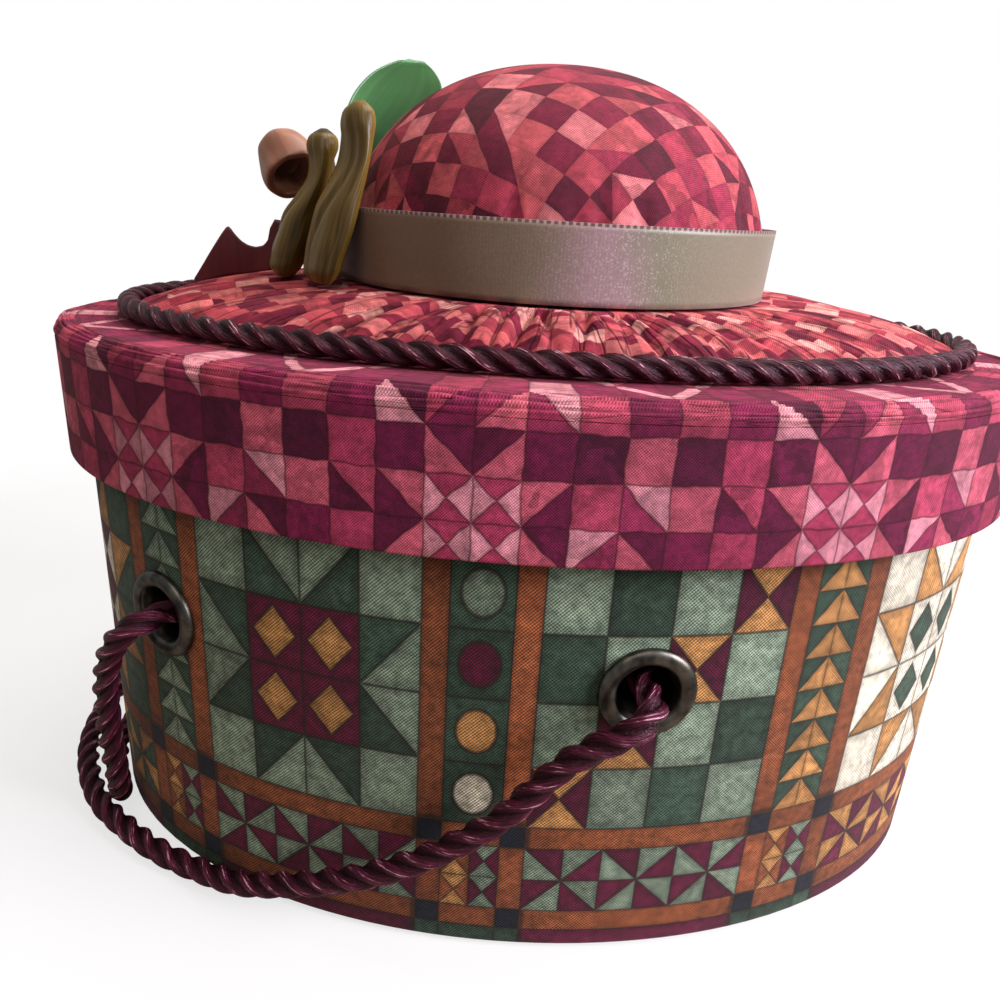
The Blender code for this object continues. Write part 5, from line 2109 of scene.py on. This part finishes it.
        def shape(around: float, run: float) -> Vector:
            """The cup's surface, outside and then inside."""
            turn = around / radius
            reach, rise = (smooth_steps(values, marks, run) for values in (self.cup_reaches, self.cup_rises))
            petal = 1.0 - 0.13 * (1.0 + math.sin(2.0 * turn + 4.0 * rise)) / 2
            petal -= 0.02 * (1.0 + math.sin(8.0 * turn)) / 2
            out = radius * reach * petal
            return seat @ Vector((out * math.cos(turn), out * math.sin(turn), length * rise))

        cup = cloth_grid(even(TURN * radius, 72), even(2.6 * length, 44), shape)
        nearest = min(corner.co.dot(outward) for corner in cup.verts)
        shift = outward * (TRIM_RADIUS + self.knot_thickness + GLUE_LINE - nearest)
        bmesh.ops.translate(cup, vec=shift, verts=cup.verts)
        piece = make_piece("rolled_rosette", close_ends(cup), look, Body.LID, "rosette")

    def tail(self, look: Look) -> None:
        """The ribbon's cut end: a swallowtail with its points up."""
        place = crown_place(self.knot_angle, TRIM_RADIUS + 0.0175, CROWN_BOTTOM)
        reach, height, first, last = 0.0260, 0.0115, self.tail_outs[0], self.tail_outs[-1]
        long, tall = 0.026, 0.014

        def shape(across: float, up: float) -> Vector:
            """The tail's face, bent a little."""
            out = first + (last - first) * across / long
            top = float(np.interp(out, self.tail_outs, self.tail_tops))
            bottom = -0.05 - 0.33 * max(0.0, out) - 0.12 * max(0.0, out) ** 2
            rise = bottom + (top - bottom) * up / tall
            bend = 0.0006 * math.sin(2.4 * rise) * math.sin(math.pi * max(0.0, out))
            return place @ Vector((reach * out, bend, height * rise))

        cloth = cloth_grid(even(long, 36), even(tall, 14), shape)
        piece = make_piece("swallowtail", cloth, look, Body.LID, "ribbon_tail")
        finish_sheet(piece, 0.0006)


@dataclass(frozen=True)
class Hardware:
    """Eyelets, washers, boards and the tray."""

    clinch: float = 0.0006
    clinch_reach: float = 0.0016
    washer: float = 0.0007
    edge: float = 0.0006
    dome: float = 0.0023
    steps: int = 72

    def build(self, brass: Look, board: Material, plastic: Material) -> None:
        """Turn the eyelets and finish the rigid nodes that stay."""
        for name, degrees in EYELET_ANGLES.items():
            self.eyelet(name, math.radians(degrees), brass)
        finishes = {"washer": brass.material, "tray": plastic}
        finishes |= dict.fromkeys(("wall_board", "base_board", "lid_wall_board", "lid_top_board"), board)
        for node, item in frame["nodes"].items():
            for prefix, material in finishes.items():
                if node.startswith(prefix):
                    item.data.shade_smooth()
                    sharpen(item, 30.0)
                    for slot in item.material_slots:
                        slot.link = "OBJECT"
                        slot.material = material
        rounding = frame["nodes"]["tray"].modifiers.new("moulded_edges", "BEVEL")
        rounding.width, rounding.segments, rounding.limit_method = 0.0005, 2, "ANGLE"
        rounding.angle_limit = math.radians(40.0)

    def eyelet(self, name: str, angle: float, look: Look) -> None:
        """Turn one eyelet: a rolled dome, a barrel and a clinched end.

        Args:
            name: which eyelet.
            angle: its place round the oval.
            look: the brass.
        """
        length, width = LID.half_length - LINING_BACK, LID.half_width - LINING_BACK
        bend = ((length * math.sin(angle)) ** 2 + (width * math.cos(angle)) ** 2) ** 1.5 / (length * width)
        flange = EYELET_DIAMETER / 2
        bulge = bend - math.sqrt(bend**2 - flange**2)
        depth = LINING_BACK - FACE + bulge + self.washer + 2 * GLUE_LINE
        bore, barrel = EYELET_BORE / 2, EYELET_BARREL
        crest = (barrel + flange) / 2
        foot, rise = GLUE_LINE + self.edge * 0.6, self.dome - self.edge
        outline = [
            (bore, -depth - self.clinch),
            (barrel + self.clinch_reach, -depth - self.clinch),
            (barrel + self.clinch_reach, -depth),
            (barrel, -depth),
            (barrel, GLUE_LINE),
            (flange, GLUE_LINE),
        ]
        for turn in even(math.pi, 14):
            reach = crest + (flange - crest) * math.cos(turn)
            outline.append((max(bore + 0.0001, reach), foot + rise * math.sin(turn)))
        outline += [(bore + 0.0002, -0.0004), (bore, -0.0016)]
        metal = turned(outline, wall_place(angle, FACE, EYELET_HEIGHT), self.steps)
        make_piece(f"grommet_{name}", metal, look, Body.BASKET, f"eyelet_{name}", sharp=40.0)


ROSE = RosePatchwork(
    name="patchwork_cotton_print",
    palette=("#5e1136", "#741841", "#9c3252", "#bb5368", "#cd8392", "#500f2f", "#aa3d5a", "#8a284c"),
    outline="#340a16",
    thread=0.00074,
    nap="#e88f86",
    outline_strength=0.6,
    mottle=0.34,
    contrast=0.5,
    blocks=(star_block(0, 3, Patch(Cut.QUARTERED, 4, 2)), mixed_block(4), mixed_block(9), chevron_block(4, 1, 6)),
)
CROWN_ROSE = replace(
    ROSE,
    name="patchwork_cotton_crown",
    palette=("#5e0f29", "#701832", "#983044", "#b24c54", "#c46b70", "#501025", "#a53d4b", "#86263e"),
    outline_strength=0.2,
    contrast=0.4,
    patch=0.0088,
    wobble=0.13,
    tilt=35.0,
    blocks=(mixed_block(21), mixed_block(5), mixed_block(17), mixed_block(30)),
)
# The crown's print in a lighter palette: painted light where the brim faces up, and painted shade in its radial
# creases.
BRIM_ROSE_PAINTED_LIGHT = replace(
    CROWN_ROSE,
    name="patchwork_cotton_brim_painted_light",
    palette=("#84203a", "#97303f", "#bd4c55", "#d4706f", "#df948c", "#701a32", "#c75b5d", "#a83c4a"),
    tilt=4.0,
    creases=(190.0, 16.0),
    crease_shade_strength=0.6,
)
# The band's print in a lighter palette: painted light on the lid's rounded top edge, and painted shade in thin creases
# along the rim.
EDGE_ROSE_PAINTED_LIGHT = replace(
    ROSE,
    name="patchwork_cotton_edge_painted_light",
    palette=("#631337", "#7a1b42", "#a23853", "#c2596a", "#d28993", "#550f30", "#b1435b", "#912c4d"),
    creases=(30.0, 430.0),
    crease_shade_strength=0.38,
)
SAMPLER = SamplerCotton(
    name="quilt_sampler_cotton",
    palette=("#e9e1cb", "#7a8b77", "#364b3c", "#151824", "#5c0f30", "#b8844d", "#86492a", "#7d4425"),
    outline="#1f1810",
    thread=0.0010,
    mottle=0.3,
    edge_shade=0.35,
    outline_strength=0.75,
    line_width=0.03,
    contrast=0.85,
)
GREEN = Satin("green_satin_ribbon", "#2c6034", "#559452", streak=0.004, sheen=0.15)
GOLD = Satin("olive_gold_organza", "#2c1f07", "#836829", roughness=0.36, streak=0.0011, sheen=0.0, gloss=0.3)
DARK_EDGED_GOLD = replace(GOLD, name="olive_gold_organza_selvedge", selvedge=0.0381)
ROSETTE_SATIN = Satin("dusty_rose_satin", "#673624", "#ac7253", streak=0.003, sheen=0.15)
RED = Satin("dark_red_satin", "#4d0d14", "#862832", roughness=0.45, streak=0.004, sheen=0.1)
LINING = Satin("cream_lining_satin", "#b9a283", "#e0cdb0", roughness=0.45, streak=0.0015)
# Each cord's first tone is the painted shade in its grooves and its last the painted highlight of its filaments.
CORD = TwistedRayon("plum_rayon_cord", ("#080103", "#260813", "#52202e", "#cf9fa8"), lay=-0.74)
ROPE = TwistedRayon("burgundy_rayon_rope", ("#080103", "#2c0715", "#65203c", "#dda3b6"), lay=0.80, shine=0.55)


def main() -> None:
    """Dress the basket, from the camera and the rope to the bow."""
    logging.basicConfig(level=logging.INFO, format="%(name)s %(message)s")
    Studio().build()
    Handle().build(Look(ROPE.material(), "rayon_cord"))
    satin = Look(LINING.material(), "lining_satin")
    BoxCovers().build(Look(SAMPLER.material(), "printed_cotton"), satin)
    LidCovers().build(
        Look(ROSE.material(), "patchwork_cotton"), Look(EDGE_ROSE_PAINTED_LIGHT.material(), "patchwork_cotton"), satin
    )
    Hat().build(
        {
            "brim": Look(BRIM_ROSE_PAINTED_LIGHT.material(), "patchwork_cotton"),
            "cord": Look(CORD.material(), "rayon_cord"),
            "crown": Look(CROWN_ROSE.material(), "patchwork_cotton"),
            "ribbon": Look(ShotRibbon(RIBBON_WIDTH).material(), "shot_satin_ribbon"),
        }
    )
    gold = Look(GOLD.material(), "gold_organza")
    Bow().build(
        {
            "knot": gold,
            "loop_inner": gold,
            "loop_outer": Look(DARK_EDGED_GOLD.material(), "gold_organza"),
            "leaf": Look(GREEN.material(), "green_satin"),
            "rosette": Look(ROSETTE_SATIN.material(), "dusty_rose_satin"),
            "tail": Look(RED.material(), "dark_red_satin"),
        }
    )
    brass = Look(AntiqueBrass().material(), "antique_brass")
    Hardware().build(brass, GreyBoard().material(), MouldedPlastic("cream_polystyrene", "#dccfb4").material())


if __name__ == "__main__":
    main()
